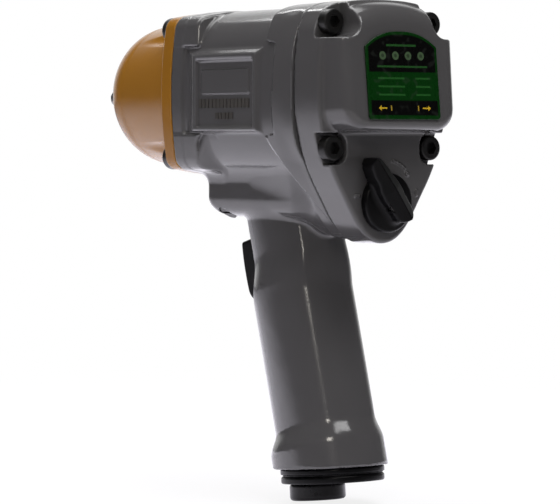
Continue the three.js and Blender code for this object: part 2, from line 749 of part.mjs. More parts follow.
function motorHousing() {
  const ears = prism(bowedSquare(flangeHalfWidth, flangeHalfHeight, flangePower),
    barrelFront, barrelFront - earLength);
  const barrel = prism(bowedSquare(barrelHalfWidth, barrelHalfHeight, barrelPower),
    barrelFront, barrelRear);
  const rearFlange = prism(rearOutline(), barrelRear + rearFlangeLength, barrelRear);
  const bellyRear = barrelRear + rearFlangeLength;
  const bellyOutline = roundedRectangle(bellyHalfWidth, bellyDepth / 2, bellyCorner);
  const belly = prism(bellyOutline, barrelFront - 1, bellyRear,
    { warp: (corner) => { corner.z -= bellyDepth / 2; } });
  const tail = prism(rearOutline(-2), bellyRear, bellyRear + tailLength, {
    steps: 2,
    warp: (corner) => {
      const share = (corner.x - bellyRear) / tailLength;
      if (corner.z < 0) corner.z *= lerp(1, bellyDepth / (rearDepth - 2), share);
      if (corner.z > 0) corner.z *= lerp(1, (barrelHalfHeight - 1) / (rearTop - 2), share);
    },
  });
  const panels = [-1, 1].map((side) => {
    const front = barrelFront - panelFront;
    const rear = front - panelLength;
    const low = Math.min(side * barrelBore * 1.1, side * panelHalfWidth);
    const high = Math.max(side * barrelBore * 1.1, side * panelHalfWidth);
    const pad = block([rear, low, panelBottom], [front, high, panelTop]);
    const floor = panelHalfWidth - panelRecess;
    const recess = block(
      [rear + panelBorder, Math.min(side * floor, side * 40), panelBottom + panelBorder],
      [front - panelBorder, Math.max(side * floor, side * 40), panelTop - panelBorder]);
    return cut(pad, recess);
  });
  const body = join(ears, barrel, rearFlange, belly, tail, ...panels, toTool(gripSolid()));
  const valveFront = coverFront + valveLength + 3;
  const chamberMouth = new THREE.Vector3(throttleX, 0, chamberTop - 5).applyMatrix4(gripToTool);
  const airWay = rod(airWayRadius, chamberMouth.toArray(), [valveFront + 1, 0, knobZ]);
  const exhaustWays = [-1, 1].map((side) => {
    const foot = new THREE.Vector3(exhaustX, side * 4, 2).applyMatrix4(gripToTool);
    return rod(exhaustWayRadius, [cylinderFront - 14, side * 14, -barrelBore + 8], foot.toArray(), small);
  });
  const airPorts = [-1, 1].map((side) => rod(airPortRadius,
    [barrelRear + 8, side * airPortSide, -barrelBore + 4],
    [barrelRear + 8, side * airPortSide, knobZ], small));
  return cut(body,
    shaft(barrelBore, barrelFront + 1, barrelRear - 1, large),
    shaft(valveRadius + running + sleeveWall + fit, valveFront, barrelRear - 1, medium, 0, knobZ),
    airWay, ...exhaustWays, ...airPorts,
    ...noseScrewPlaces.map((place) =>
      screwHole(place, barrelFront + 1, barrelFront - noseScrewGrip - 1)),
    ...rearScrewPlaces.map((place) =>
      screwHole(place, barrelRear - 1, barrelRear + rearScrewGrip + 1)),
    rod(plugRadius + fit, plugPlace(-2), plugPlace(plugDepth + 1)),
    toTool(gripCuts()));
}

function oilPlug() {
  const head = plugPlace(plugSink);
  const turn = new THREE.Matrix4().makeRotationX(radians(plugLean));
  turn.setPosition(...head);
  const slot = block([-plugRadius - 1, -plugSlotHalfWidth, -1],
    [plugRadius + 1, plugSlotHalfWidth, plugSlotDepth]).transform(turn.elements);
  return cut(rod(plugRadius, head, plugPlace(plugDepth)), slot);
}

// ---- rear cover, gasket, label plate ----
function labelFrame() {
  const frame = new THREE.Matrix4().makeRotationY(radians(blockTilt));
  frame.setPosition(coverFront - blockLength, 0, labelBottom);
  return frame;
}

function rearCover() {
  const plate = prism(rearOutline(), coverFront, coverPlateRear);
  const halfHeight = (blockTop - blockBottom) / 2;
  const middle = (blockTop + blockBottom) / 2;
  const bulge = prism(roundedRectangle(blockHalfWidth, halfHeight, blockCorner),
    coverFront - 2, coverFront - blockLength - 6,
    { warp: (corner) => { corner.z += middle; } });
  // Everything behind the leaning label face is taken away.
  const behind = new THREE.BoxGeometry(30, 90, 140);
  behind.translate(-15, 0, 0);
  behind.applyMatrix4(labelFrame());
  const pockets = rearScrewPlaces.map(([y, z]) =>
    shaft(screwHeadRadius + screwPocketClearance, coverPocketFace, coverFront - blockLength - 8,
      small, y, z));
  const cavity = block([coverPlateRear - 2, -cavityHalfWidth, cavityBottom],
    [coverFront + 1, cavityHalfWidth, cavityTop]);
  const port = block([coverFront - 7, -portHalfWidth, knobZ + 2],
    [coverFront + 1, portHalfWidth, 0]);
  const detent = shaft(detentRadius + fit, coverPlateRear - 1, coverPlateRear + 8, small,
    0, knobZ + detentOffset);
  return cut(join(plate, bulge), solid(behind), ...pockets, cavity, port, detent,
    shaft(valveStemRadius + running, coverFront + 1, coverPlateRear - 1, medium, 0, knobZ),
    ...rearScrewPlaces.map((place) => screwHole(place, coverFront + 1, coverPocketFace - 1)));
}

const rearGasket = cut(
  prism(rearOutline(), barrelRear, coverFront),
  shaft(barrelBore + 0.5, barrelRear + 1, coverFront - 1, large),
  shaft(valveRadius + 3, barrelRear + 1, coverFront - 1, medium, 0, knobZ),
  ...rearScrewPlaces.map((place) => screwHole(place, barrelRear + 1, coverFront - 1)));

// The arched label plate is drawn flat, then leant against the cover's rear face.
function labelPlate() {
  const height = labelTop - labelBottom;
  const outline = new THREE.Shape();
  outline.moveTo(-labelHalfWidth, 0);
  outline.lineTo(labelHalfWidth, 0);
  outline.lineTo(labelHalfWidth, height);
  outline.quadraticCurveTo(0, height + 2 * labelArch, -labelHalfWidth, height);
  outline.closePath();
  const geometry = new THREE.ExtrudeGeometry(
    outline, { depth: labelThickness, bevelEnabled: false, curveSegments: 10 });
  geometry.applyMatrix4(acrossAxis);
  geometry.translate(-labelThickness - running, 0, 0);
  geometry.applyMatrix4(labelFrame());
  return solid(geometry);
}

// ---- reversing knob, valve, sleeve and detent ----
const valveFrontStation = coverFront + 1 + valveLength;
const knobFace = coverPlateRear - running;
const knobTop = knobFace - knobHeight;

function reverseKnob() {
  const base = shaft(knobRadius, knobFace, knobFace - knobBase, medium);
  const barOutline = new THREE.Shape();
  barOutline.moveTo(-knobBarHalfWidth, -knobTailReach + 3);
  barOutline.lineTo(-knobBarHalfWidth + 1.5, -knobTailReach);
  barOutline.lineTo(knobBarHalfWidth - 1.5, -knobTailReach);
  barOutline.lineTo(knobBarHalfWidth, -knobTailReach + 3);
  barOutline.lineTo(knobBarHalfWidth, knobTipReach - 6);
  barOutline.lineTo(0.8, knobTipReach);
  barOutline.lineTo(-0.8, knobTipReach);
  barOutline.lineTo(-knobBarHalfWidth, knobTipReach - 6);
  barOutline.closePath();
  const bar = prism(barOutline, knobFace - knobBase + 0.5, knobTop);
  const turn = new THREE.Matrix4().makeRotationX(radians(-knobAngle));
  turn.setPosition(0, 0, knobZ);
  const socket = shaft(valveStemRadius + fit, knobFace + 1, knobFace - stemEngagement, medium);
  const crossHole = rod(crossPinRadius + fit, [knobFace - crossPinBehind, -knobRadius, 0],
    [knobFace - crossPinBehind, knobRadius, 0], small);
  return cut(join(base, bar), socket, crossHole).transform(turn.elements);
}

function knobPin() {
  const turn = new THREE.Matrix4().makeRotationX(radians(-knobAngle));
  turn.setPosition(0, 0, knobZ);
  const half = knobBarHalfWidth - 0.5;
  return rod(crossPinRadius, [knobFace - crossPinBehind, -half, 0],
    [knobFace - crossPinBehind, half, 0], small).transform(turn.elements);
}

function reverseValve() {
  const spool = shaft(valveRadius, valveFrontStation, coverFront + 1, medium, 0, knobZ);
  const stem = shaft(valveStemRadius, coverFront + 2, knobFace - stemEngagement + fit, medium,
    0, knobZ);
  const bore = shaft(4.6, valveFrontStation + 1, coverFront + 9, 20, 0, knobZ);
  const port = block([barrelRear + 5, -3, knobZ], [barrelRear + 11, 3, knobZ + valveRadius + 2]);
  const turn = new THREE.Matrix4().makeRotationX(radians(-knobAngle));
  turn.setPosition(0, 0, knobZ);
  const crossHole = rod(crossPinRadius + fit, [knobFace - crossPinBehind, -knobRadius, 0],
    [knobFace - crossPinBehind, knobRadius, 0], small);
  return cut(join(spool, stem), bore, port, crossHole.transform(turn.elements));
}

const sleeveInner = valveRadius + running;
const reverseSleeve = cut(
  shaft(sleeveInner + sleeveWall, coverFront + valveLength + 2, coverFront + 0.8, medium, 0, knobZ),
  shaft(sleeveInner, coverFront + valveLength + 3, coverFront, medium, 0, knobZ),
  block([barrelRear + 6, -6, knobZ], [barrelRear + 10, 6, knobZ + sleeveInner + 4]));

const detentBall = (() => {
  const ball = new THREE.SphereGeometry(detentRadius, small, 6);
  ball.translate(coverPlateRear + detentRadius + 0.1, 0, knobZ + detentOffset);
  return solid(ball);
})();

class Helix extends THREE.Curve {
  constructor(radius, low, high, turns) {
    super();
    Object.assign(this, { radius, low, high, turns });
  }

  getPoint(share, target = new THREE.Vector3()) {
    const angle = 2 * Math.PI * this.turns * share;
    return target.set(this.radius * Math.cos(angle), this.radius * Math.sin(angle),
      this.low + (this.high - this.low) * share);
  }
}

// A coil spring standing along z.
function spring(radius, wire, low, high, turns) {
  const path = new Helix(radius, low + wire, high - wire, turns);
  const geometry = new THREE.ExtrudeGeometry(polarOutline(5, () => wire),
    { steps: turns * 8, extrudePath: path, bevelEnabled: false });
  return solid(geometry);
}

function detentSpring() {
  const low = 0;
  const high = 3.6;
  const standing = spring(1.1, 0.25, low, high, 4);
  const lay = new THREE.Matrix4().makeRotationY(Math.PI / 2);
  lay.setPosition(coverPlateRear + 2 * detentRadius + 0.3, 0, knobZ + detentOffset);
  return standing.transform(lay.elements);
}

// ---- handle base: exhaust deflector, inlet bushing, screen and muffler ----
const deflectorTop = -running;
const deflectorBottom = deflectorTop - deflectorThickness;
const bushingTop = inletBushingDepth - running;
const bossTop = deflectorBottom - running;
const bossBottom = bossTop - inletBossLength;

function exhaustDeflector() {
  const halfDepth = gripHalfDepth + gripFlare - deflectorInset;
  const halfWidth = gripHalfWidth + gripFlare - deflectorInset;
  const plate = column(gripOutline(halfDepth, halfWidth), deflectorBottom, deflectorTop);
  const vents = [-8, 0, 8].map((y) =>
    block([exhaustX - 4, y - 2.2, deflectorBottom - 1], [exhaustX + 4, y + 2.2, deflectorTop + 1]));
  return cut(plate, ...vents,
    rod(inletBushingRadius + fit, [inletX, 0, deflectorBottom - 1], [inletX, 0, deflectorTop + 1]));
}

const inletBushing = cut(
  join(
    rod(inletBushingRadius, [inletX, 0, bossTop - 1], [inletX, 0, bushingTop]),
    rod(inletBossRadius, [inletX, 0, bossBottom], [inletX, 0, bossTop])),
  rod(inletBore, [inletX, 0, bossBottom - 1], [inletX, 0, bushingTop + 1]),
  rod(inletBore + 1.4, [inletX, 0, bushingTop - screenThickness - fit], [inletX, 0, bushingTop + 1]));

function inletScreen() {
  const low = bushingTop - screenThickness;
  const disc = rod(inletBore + 1.2, [inletX, 0, low], [inletX, 0, bushingTop]);
  const holes = [];
  for (let i = 0; i < 6; i += 1) {
    const x = inletX + 3.2 * Math.cos((i * Math.PI) / 3);
    const y = 3.2 * Math.sin((i * Math.PI) / 3);
    holes.push(rod(1.1, [x, y, low - 1], [x, y, bushingTop + 1], 8));
  }
  return cut(disc, ...holes);
}

const muffler = cut(
  rod(exhaustRadius - fit, [exhaustX, 0, gripBase + 0.3], [exhaustX, 0, gripBase + mufflerLength]),
  rod(1.6, [exhaustX, 0, gripBase - 1], [exhaustX, 0, gripBase + mufflerLength + 1], small));

// ---- throttle: seat, tilting valve and spring ----
const throttleSeat = cut(
  rod(throttleChannelRadius - fit, [throttleX, 0, seatBottom],
    [throttleX, 0, seatBottom + seatThickness], medium),
  rod(seatBore, [throttleX, 0, seatBottom - 1], [throttleX, 0, seatBottom + seatThickness + 1]));

const discTop = seatBottom - running;
const throttleValve = join(
  rod(throttleDiscRadius, [throttleX, 0, discTop - throttleDiscThickness], [throttleX, 0, discTop]),
  rod(throttleStemRadius, [throttleX, 0, discTop - 1], [throttleX, 0, triggerStemZ + 1.5], small));

const throttleSpring = spring(throttleDiscRadius - 0.8, 0.6, springLedge + 0.3,
  discTop - throttleDiscThickness - 0.3, 4).transform(
  new THREE.Matrix4().makeTranslation(throttleX, 0, 0).elements);

// ---- trigger, its stem and bushing ----
const triggerBack = pocketFloor + triggerStroke + 0.4;
const triggerBushing = cut(
  rod(triggerBushingRadius, [throttleX + throttleChannelRadius - 3, 0, triggerStemZ],
    [pocketFloor - 0.1, 0, triggerStemZ]),
  rod(triggerStemRadius + running, [throttleX, 0, triggerStemZ], [pocketFloor + 1, 0, triggerStemZ]));

function trigger() {
  const outline = new THREE.Shape();
  outline.moveTo(triggerBack, triggerBottom);
  outline.lineTo(triggerFront - 2.6, triggerBottom);
  outline.quadraticCurveTo(
    triggerFront - 0.6, triggerBottom + 1.5, triggerFront, triggerBottom + 4);
  outline.quadraticCurveTo(triggerFront - 0.8, triggerStemZ + 2, triggerFront, triggerTop - 3);
  outline.quadraticCurveTo(
    triggerFront, triggerTop - 2.2, triggerFront - 1.4, triggerTop - 1.8);
  outline.lineTo(triggerBack, triggerTop);
  outline.closePath();
  // The side view is drawn in (x, z) and carried across the tool's width.
  const geometry = new THREE.ExtrudeGeometry(
    outline, { depth: 2 * triggerHalfWidth, bevelEnabled: false, curveSegments: 5 });
  geometry.rotateX(Math.PI / 2);
  geometry.translate(0, triggerHalfWidth, 0);
  const socket = rod(triggerStemRadius + fit, [triggerBack - 1, 0, triggerStemZ],
    [triggerBack + 4.2, 0, triggerStemZ]);
  return cut(solid(geometry), socket);
}

const triggerStem = rod(triggerStemRadius,
  [throttleX + throttleStemRadius + 0.4, 0, triggerStemZ], [triggerBack + 4, 0, triggerStemZ]);

// ---- put the parts together ----
addPart("motor_housing", motorHousing(), "grey_paint");
addPart("nose_case", noseCase(), "orange_paint");
addPart("nose_gasket", noseGasket, "gasket");
addPart("anvil_bushing", anvilBushing, "bronze");
noseScrewPlaces.forEach((place, i) => {
  const length = noseFlangeThickness + gasketThickness + noseScrewGrip;
  addPart(`nose_screw_${i + 1}`, capScrew(place, noseFlangeFront, length, 1), "black_steel");
});

addPart("anvil", anvil(), "dark_steel");
addPart("socket_retaining_ring", retainingRing, "bright_steel");
addPart("hammer_cage", hammerCage(), "dark_steel");
[1, -1].forEach((side, i) => {
  addPart(`hammer_${i + 1}`, hammer(hammerFronts[i], side), "bright_steel");
  addPart(`hammer_pin_${i + 1}`, shaft(hammerPinRadius, cageFront - 0.2, cageRearPlateRear + 0.2,
    20, side * hammerPinOffset), "bright_steel");
});

addPart("rotor", rotor(), "bright_steel");
for (let i = 0; i < vaneCount; i += 1) addPart(`vane_${i + 1}`, vane(i), "phenolic");
addPart("motor_cylinder", motorCylinder(), "bright_steel");
addPart("cylinder_dowel", cylinderDowel, "bright_steel");
addPart("front_end_plate", endPlate(cylinderFront, frontPlateFront), "dark_steel");
addPart("rear_end_plate", endPlate(cylinderRear, rearPlateRear), "dark_steel");
[["front", frontBearing], ["rear", rearBearing]].forEach(([end, [from, to]]) => {
  addPart(`${end}_bearing_outer_ring`,
    bearingRing(raceOuter, bearingOuter, from, to), "bright_steel");
  addPart(`${end}_bearing_inner_ring`,
    bearingRing(bearingBore, raceInner, from, to), "bright_steel");
  addPart(`${end}_bearing_balls`, ballCage((from + to) / 2), "bright_steel");
});

addPart("rear_gasket", rearGasket, "gasket");
addPart("rear_cover", rearCover(), "grey_paint");
addPart("rear_label", labelPlate(), "label");
rearScrewPlaces.forEach((place, i) => {
  const length = coverPocketFloor + gasketThickness + rearScrewGrip;
  addPart(`rear_screw_${i + 1}`, capScrew(place, coverPocketFace, length, -1), "black_steel");
});
addPart("reverse_valve_sleeve", reverseSleeve, "brass");
addPart("reverse_valve", reverseValve(), "dark_steel");
addPart("reverse_knob", reverseKnob(), "black_plastic");
addPart("knob_pin", knobPin(), "bright_steel");
addPart("detent_ball", detentBall, "bright_steel");
addPart("detent_spring", detentSpring(), "bright_steel");
addPart("oil_plug", oilPlug(), "black_steel");

addPart("exhaust_deflector", exhaustDeflector(), "black_plastic", foot);
addPart("exhaust_muffler", muffler, "felt", grip);
addPart("inlet_bushing", inletBushing, "black_steel", foot);
addPart("inlet_screen", inletScreen(), "brass", foot);
addPart("throttle_seat", throttleSeat, "brass", grip);
addPart("throttle_valve", throttleValve, "brass", grip);
addPart("throttle_spring", throttleSpring, "bright_steel", grip);
addPart("trigger_bushing", triggerBushing, "brass", grip);
addPart("trigger_stem", triggerStem, "bright_steel", grip);
addPart("trigger", trigger(), "black_plastic", grip);

export default wrench;
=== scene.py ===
from math import cos, pi, radians, sin, tan

import bmesh
import bpy
import numpy as np
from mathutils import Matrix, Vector


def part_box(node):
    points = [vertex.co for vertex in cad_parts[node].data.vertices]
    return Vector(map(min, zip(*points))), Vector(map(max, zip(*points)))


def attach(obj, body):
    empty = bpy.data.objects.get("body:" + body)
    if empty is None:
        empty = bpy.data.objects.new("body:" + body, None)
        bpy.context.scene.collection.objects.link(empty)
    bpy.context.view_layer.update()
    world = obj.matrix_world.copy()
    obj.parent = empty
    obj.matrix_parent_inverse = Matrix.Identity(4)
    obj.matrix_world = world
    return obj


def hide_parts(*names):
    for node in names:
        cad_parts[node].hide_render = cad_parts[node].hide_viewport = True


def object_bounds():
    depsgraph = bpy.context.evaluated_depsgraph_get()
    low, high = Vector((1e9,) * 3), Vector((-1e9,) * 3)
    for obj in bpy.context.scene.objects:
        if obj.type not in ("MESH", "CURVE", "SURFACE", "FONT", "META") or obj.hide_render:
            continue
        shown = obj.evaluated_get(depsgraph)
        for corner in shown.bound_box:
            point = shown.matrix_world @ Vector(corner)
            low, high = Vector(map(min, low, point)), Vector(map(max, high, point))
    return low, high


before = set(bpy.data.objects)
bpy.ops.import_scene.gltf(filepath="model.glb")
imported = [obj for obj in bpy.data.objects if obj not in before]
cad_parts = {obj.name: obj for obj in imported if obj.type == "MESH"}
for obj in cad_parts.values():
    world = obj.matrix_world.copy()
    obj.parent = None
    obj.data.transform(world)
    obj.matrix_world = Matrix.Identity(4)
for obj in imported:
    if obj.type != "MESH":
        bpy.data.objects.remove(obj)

cad_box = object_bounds()
scene = bpy.context.scene
scene.view_settings.view_transform = "Standard"


# ---- camera -------------------------------------------------------------------------------
# A long lens stands behind the tool on its left side, a little above the drive axis, so the
# rear cover and the whole left flank show.
bearing, raised, distance = radians(52.5), radians(2.1), 1.150
aim = Vector((-0.104, 0.0, -0.061))
toward_camera = Vector((-sin(bearing) * cos(raised), cos(bearing) * cos(raised), sin(raised)))
camera = bpy.data.objects.new("camera", bpy.data.cameras.new("camera"))
camera.data.lens = 192.2
camera.data.sensor_width = 36.0
camera.location = aim + distance * toward_camera
camera.rotation_euler = toward_camera.to_track_quat("Z", "Y").to_euler()
scene.collection.objects.link(camera)
scene.camera = camera


# ---- studio: backdrop, floor and lamps -------------------------------------------------------
# A lit white backdrop hangs beyond the tool, the rest of the room is dim, and the tool stands
# on a pale floor, greyer near the camera, whose light comes back up with a lavender cast.
class Pattern:
    """One socket of a shader's node tree, so that a pattern is written as sums and products."""

    def __init__(self, tree, socket=None):
        self.tree, self.socket = tree, socket

    def node(self, kind, settings=None, sockets=None, out=0):
        """Any node: its settings first, then the values or links of its sockets."""
        made = self.tree.nodes.new(kind)
        for name, value in (settings or {}).items():
            if name != "stops":
                setattr(made, name, value)
                continue
            ramp = made.color_ramp
            while len(ramp.elements) < len(value):
                ramp.elements.new(0.5)
            for stop, (place, colour) in zip(ramp.elements, value):
                stop.position, stop.color = place, (*colour, 1.0)
        for key, value in (sockets or {}).items():
            if isinstance(value, Pattern):
                self.tree.links.new(value.socket, made.inputs[key])
            else:
                made.inputs[key].default_value = value
        return Pattern(self.tree, made.outputs[out] if len(made.outputs) else None)

    def maths(self, operation, *values):
        return self.node("ShaderNodeMath", {"operation": operation},
                         dict(enumerate((self, *values))))

    def __add__(self, other):
        return self.maths("ADD", other)

    def __sub__(self, other):
        return self.maths("SUBTRACT", other)

    def __rsub__(self, other):
        return self.node("ShaderNodeMath", {"operation": "SUBTRACT"}, {0: other, 1: self})

    def __mul__(self, other):
        return self.maths("MULTIPLY", other)

    def __truediv__(self, other):
        return self.maths("DIVIDE", other)

    def __abs__(self):
        return self.maths("ABSOLUTE")

    __radd__, __rmul__ = __add__, __mul__

    def between(self, low, high):
        """Rises smoothly from 0 at low to 1 at high, or falls where high is the smaller."""
        return self.node("ShaderNodeMapRange", {"interpolation_type": "SMOOTHSTEP"}, {
            "Value": self, "From Min": low, "From Max": high})

    def blend(self, first, second):
        """A colour between two, with this pattern as the share of the second."""
        made = self.node("ShaderNodeMix", {"data_type": "RGBA"}, {0: self}, out=2)
        mix = made.socket.node
        for socket, colour in ((mix.inputs[6], first), (mix.inputs[7], second)):
            if isinstance(colour, Pattern):
                self.tree.links.new(colour.socket, socket)
            else:
                socket.default_value = (*colour, 1.0)
        return made


def surface(name):
    """A new material with an empty shader tree, and a pattern to build it from."""
    material = bpy.data.materials.new(name)
    material.use_nodes = True
    material.node_tree.nodes.clear()
    return material, Pattern(material.node_tree)


room_light, backdrop_light = 0.09, 1.0
world = bpy.data.worlds.new("studio")
scene.world = world
world.use_nodes = True
air = Pattern(world.node_tree)
world.node_tree.nodes.clear()
looking = air.node("ShaderNodeTexCoord", out=0)
facing = air.node("ShaderNodeVectorMath", {"operation": "DOT_PRODUCT"}, {
    0: looking, 1: tuple(-toward_camera)}, out=1)
backdrop = facing.between(cos(radians(52)), cos(radians(28)))
seen = air.node("ShaderNodeLightPath", out=0)
strength = room_light + (backdrop_light - room_light) * backdrop
strength = strength + seen * (1.0 - strength)
lit = air.node("ShaderNodeBackground", None, {0: (1.0, 1.0, 1.0, 1.0), 1: strength})
air.node("ShaderNodeOutputWorld", None, {0: lit})

floor_height, floor_half = cad_box[0][2], 4.0
floor_mesh = bpy.data.meshes.new("studio_floor")
floor_mesh.from_pydata([(x * floor_half, y * floor_half, floor_height) for x, y in
                        ((-1, -1), (1, -1), (1, 1), (-1, 1))], [], [(0, 1, 2, 3)])
floor = bpy.data.objects.new("studio_floor", floor_mesh)
scene.collection.objects.link(floor)
floor_paint, tone = surface("studio_floor")
seen = tone.node("ShaderNodeLightPath", out=0)
glossed = tone.node("ShaderNodeLightPath", out=3)
spot = tone.node("ShaderNodeTexCoord", out=3)
along = tone.node("ShaderNodeSeparateXYZ", None, {0: spot}, out=0)
spread = tone.node("ShaderNodeVectorMath", {"operation": "LENGTH"}, {0: spot}, out=1)
beyond = along.between(-0.36, -0.14)
matt = tone.node("ShaderNodeBsdfDiffuse", None, {
    0: beyond.blend((0.55, 0.54, 0.56), (0.94, 0.92, 1.0))})
white = tone.node("ShaderNodeEmission", None, {0: (1.0, 1.0, 1.0, 1.0), 1: 1.0})
glow = tone.node("ShaderNodeEmission", None, {
    0: (0.88, 0.86, 0.97, 1.0), 1: glossed * beyond * spread.between(0.95, 0.40) * 0.5})
shaded = tone.node("ShaderNodeAddShader", None, {0: matt, 1: glow})
whiteness = 0.84 + 0.16 * spread.between(0.18, 0.55)
shaded = tone.node("ShaderNodeMixShader", None, {0: seen * whiteness, 1: shaded, 2: white})
tone.node("ShaderNodeOutputMaterial", None, {0: shaded})
floor_mesh.materials.append(floor_paint)


def lamp(name, size, power, colour, azimuth, elevation, reach):
    """A soft box aimed at the tool. Azimuth turns from the rear towards the left side."""
    data = bpy.data.lights.new(name, "AREA")
    data.shape, data.size, data.size_y = "RECTANGLE", *size
    data.energy, data.color = power, colour
    made = bpy.data.objects.new(name, data)
    a, e = radians(azimuth), radians(elevation)
    away = Vector((-cos(a) * cos(e), sin(a) * cos(e), sin(e)))
    made.location = aim + reach * away
    made.rotation_euler = away.to_track_quat("Z", "Y").to_euler()
    scene.collection.objects.link(made)


warm, plain = (1.0, 0.95, 0.86), (1.0, 1.0, 1.0)
lamp("key", (0.26, 0.30), 3.8, warm, 44, 27, 1.5)
lamp("overhead", (1.3, 1.3), 24.0, plain, 172, 74, 1.5)
lamp("rear", (0.9, 0.6), 12.0, plain, 5, 58, 1.5)
lamp("far", (0.5, 0.09), 1.4, plain, 199, 42, 1.5)


# ---- motor housing -------------------------------------------------------------------------
# One aluminium casting holds the air motor and is the handle too. It is cast, bored from both
# ends, blasted and given a thick gloss enamel, which rounds every edge a little.
mm = 0.001


def join(a, b, fillet=0.0):
    """Two distance fields as one body, with a hollow fillet where they meet."""
    if not fillet:
        return np.minimum(a, b)
    return np.maximum(fillet, np.minimum(a, b)) - np.hypot(
        np.maximum(fillet - a, 0), np.maximum(fillet - b, 0))


def trim(a, b, edge=0.0):
    """What two fields share, with its new edge rounded."""
    return -join(-a, -b, edge)


def cut(a, b, edge=0.0):
    """The first field with the second taken away."""
    return -join(-a, b, edge)


def rectangle(u, v, half_u, half_v, corner):
    a, b = np.abs(u) - half_u + corner, np.abs(v) - half_v + corner
    return np.hypot(np.maximum(a, 0), np.maximum(b, 0)) + np.minimum(np.maximum(a, b), 0) - corner


def between(value, low, high):
    return np.abs(value - (low + high) / 2) - (high - low) / 2


def oval(u, v, half_u, half_v):
    near = np.hypot(u / half_u, v / half_v) + 1e-9
    steep = np.hypot(u / half_u ** 2, v / half_v ** 2) + 1e-9
    return near * (near - 1) / steep


def ramp(value, low, high):
    share = np.clip((value - low) / (high - low), 0, 1)
    return share * share * (3 - 2 * share)


def spaced(*spans):
    """Grid lines along one axis: each span is where it starts, where it ends and its cell."""
    lines = [np.arange(low, high, cell) for low, high, cell in spans]
    return np.append(np.concatenate(lines), spans[-1][1])


def casting(name, field, grid):
    """Meshes the surface where a distance field is nought: one point for each grid cell that
    the surface crosses, moved onto the surface, and one face round each grid edge."""
    value = field(*np.ix_(*grid)).astype(np.float32)
    inside = value < 0
    shape = np.array(value.shape)
    ends = [np.array((i, j, k)) for i in (0, 1) for j in (0, 1) for k in (0, 1)]
    count = sum(inside[tuple(slice(e, n - 1 + e) for e, n in zip(end, shape))].astype(np.int8)
                for end in ends)
    mixed = (count > 0) & (count < 8)
    number = np.full(mixed.shape, -1)
    number[mixed] = np.arange(mixed.sum())
    cells = np.argwhere(mixed)
    low = np.stack([line[cells[:, i]] for i, line in enumerate(grid)], 1)
    size = np.stack([line[cells[:, i] + 1] for i, line in enumerate(grid)], 1) - low
    total, hits = np.zeros(cells.shape), np.zeros(len(cells))
    for end in ends:
        for axis in range(3):
            if end[axis]:
                continue
            far = end + np.eye(3, dtype=int)[axis]
            a, b = value[tuple((cells + end).T)], value[tuple((cells + far).T)]
            crossed = (a < 0) != (b < 0)
            share = np.where(crossed, a / np.where(crossed, a - b, 1), 0)
            point = end + share[:, None] * np.eye(3)[axis]
            total[crossed] += point[crossed]
            hits[crossed] += 1
    points = low + size * total / hits[:, None]

    def slope(at, step):
        shifts = step * np.eye(3)
        ahead = [field(*(at + shift).T) for shift in shifts]
        behind = [field(*(at - shift).T) for shift in shifts]
        steepness = [(a - b) / (2 * step) for a, b in zip(ahead, behind)]
        return np.stack(steepness, 1), sum(ahead + behind)

    for _ in range(3):
        gradient, _sum = slope(points, 0.04)
        move = field(*points.T) / np.maximum((gradient ** 2).sum(1), 0.3)
        reach = 0.35 * size.min(1)
        points -= np.clip(move, -reach, reach)[:, None] * gradient
    faces = []
    for axis in range(3):
        b, c = np.eye(3, dtype=int)[(axis + 1) % 3], np.eye(3, dtype=int)[(axis + 2) % 3]
        ahead = np.roll(inside, -1, axis)
        change = (inside != ahead)[tuple(slice(1, n - 1) for n in shape)]
        start = np.argwhere(change) + 1
        ring = [number[tuple((start - shift).T)] for shift in (0, b, b + c, c)]
        quads = np.stack(ring, 1)
        flipped = ~inside[tuple(start.T)]
        quads[flipped] = quads[flipped][:, ::-1]
        faces.append(quads)
    faces = np.concatenate(faces)
    mesh = bpy.data.meshes.new(name)
    mesh.from_pydata(points * mm, [], faces.tolist())
    mesh.polygons.foreach_set("use_smooth", np.ones(len(faces), bool))
    normal, _sum = slope(points, 0.12)
    normal /= np.linalg.norm(normal, axis=1)[:, None] + 1e-12
    _gradient, around = slope(points, 0.6)
    bend = (around - 6 * field(*points.T)) / 0.36
    edge = mesh.attributes.new("edge", "FLOAT", "POINT")
    edge.data.foreach_set("value", np.clip(bend, -3, 3).astype(np.float32))
    mesh.normals_split_custom_set_from_vertices(normal)
    made = bpy.data.objects.new(name, mesh)
    scene.collection.objects.link(made)
    return made


front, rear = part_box("nose_gasket")[0][0] / mm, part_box("rear_gasket")[1][0] / mm
bore = 26.0
screws_front, screws_rear = (23.5, 24.5), ((23.0, 25.0), (23.0, -21.0))
screw_hole, knob_height = 2.8, -41.0
egg_top, egg_half, egg_depth = 33.5, 30.6, 56.1
grip_origin, grip_lean, foot_lean = np.array((-117.6, 0.0, -74.0)), radians(15.5), radians(5)
grip_base, throttle, exhaust, inlet_ahead = -69.5, 4.0, -11.5, 9.5
plug_station, plug_lean = front - 10.4, radians(36)
grip_long, grip_wide, grip_back, grip_ahead = 22.4, 17.3, 20.5, 21.1
barrel_half, barrel_tall, barrel_power = 31.3, 31.7, 3.3
flange_half, flange_tall, flange_corner = 33.0, 31.8, 3.4
pad_out, pad_front, pad_rear, pad_top, pad_bottom = 32.9, -92.4, -131.2, 14.2, -14.3
tray_out, tray_station, tray_height, tray_half, tray_tall = 31.7, -111.8, -0.4, 18.1, 13.1
belly_height, belly_half, belly_tall, belly_station, belly_reach = -24.0, 18.0, 24.6, -109.0, 29.8
chamber_radius, inlet_radius, exhaust_radius = 7.2, 8.2, 5.5


def bezier(*points):
    t = np.linspace(0, 1, 60, endpoint=False)[:, None]
    a, b, c, d = np.array(points, float)
    return a * (1 - t) ** 3 + 3 * b * t * (1 - t) ** 2 + 3 * c * t * t * (1 - t) + d * t ** 3


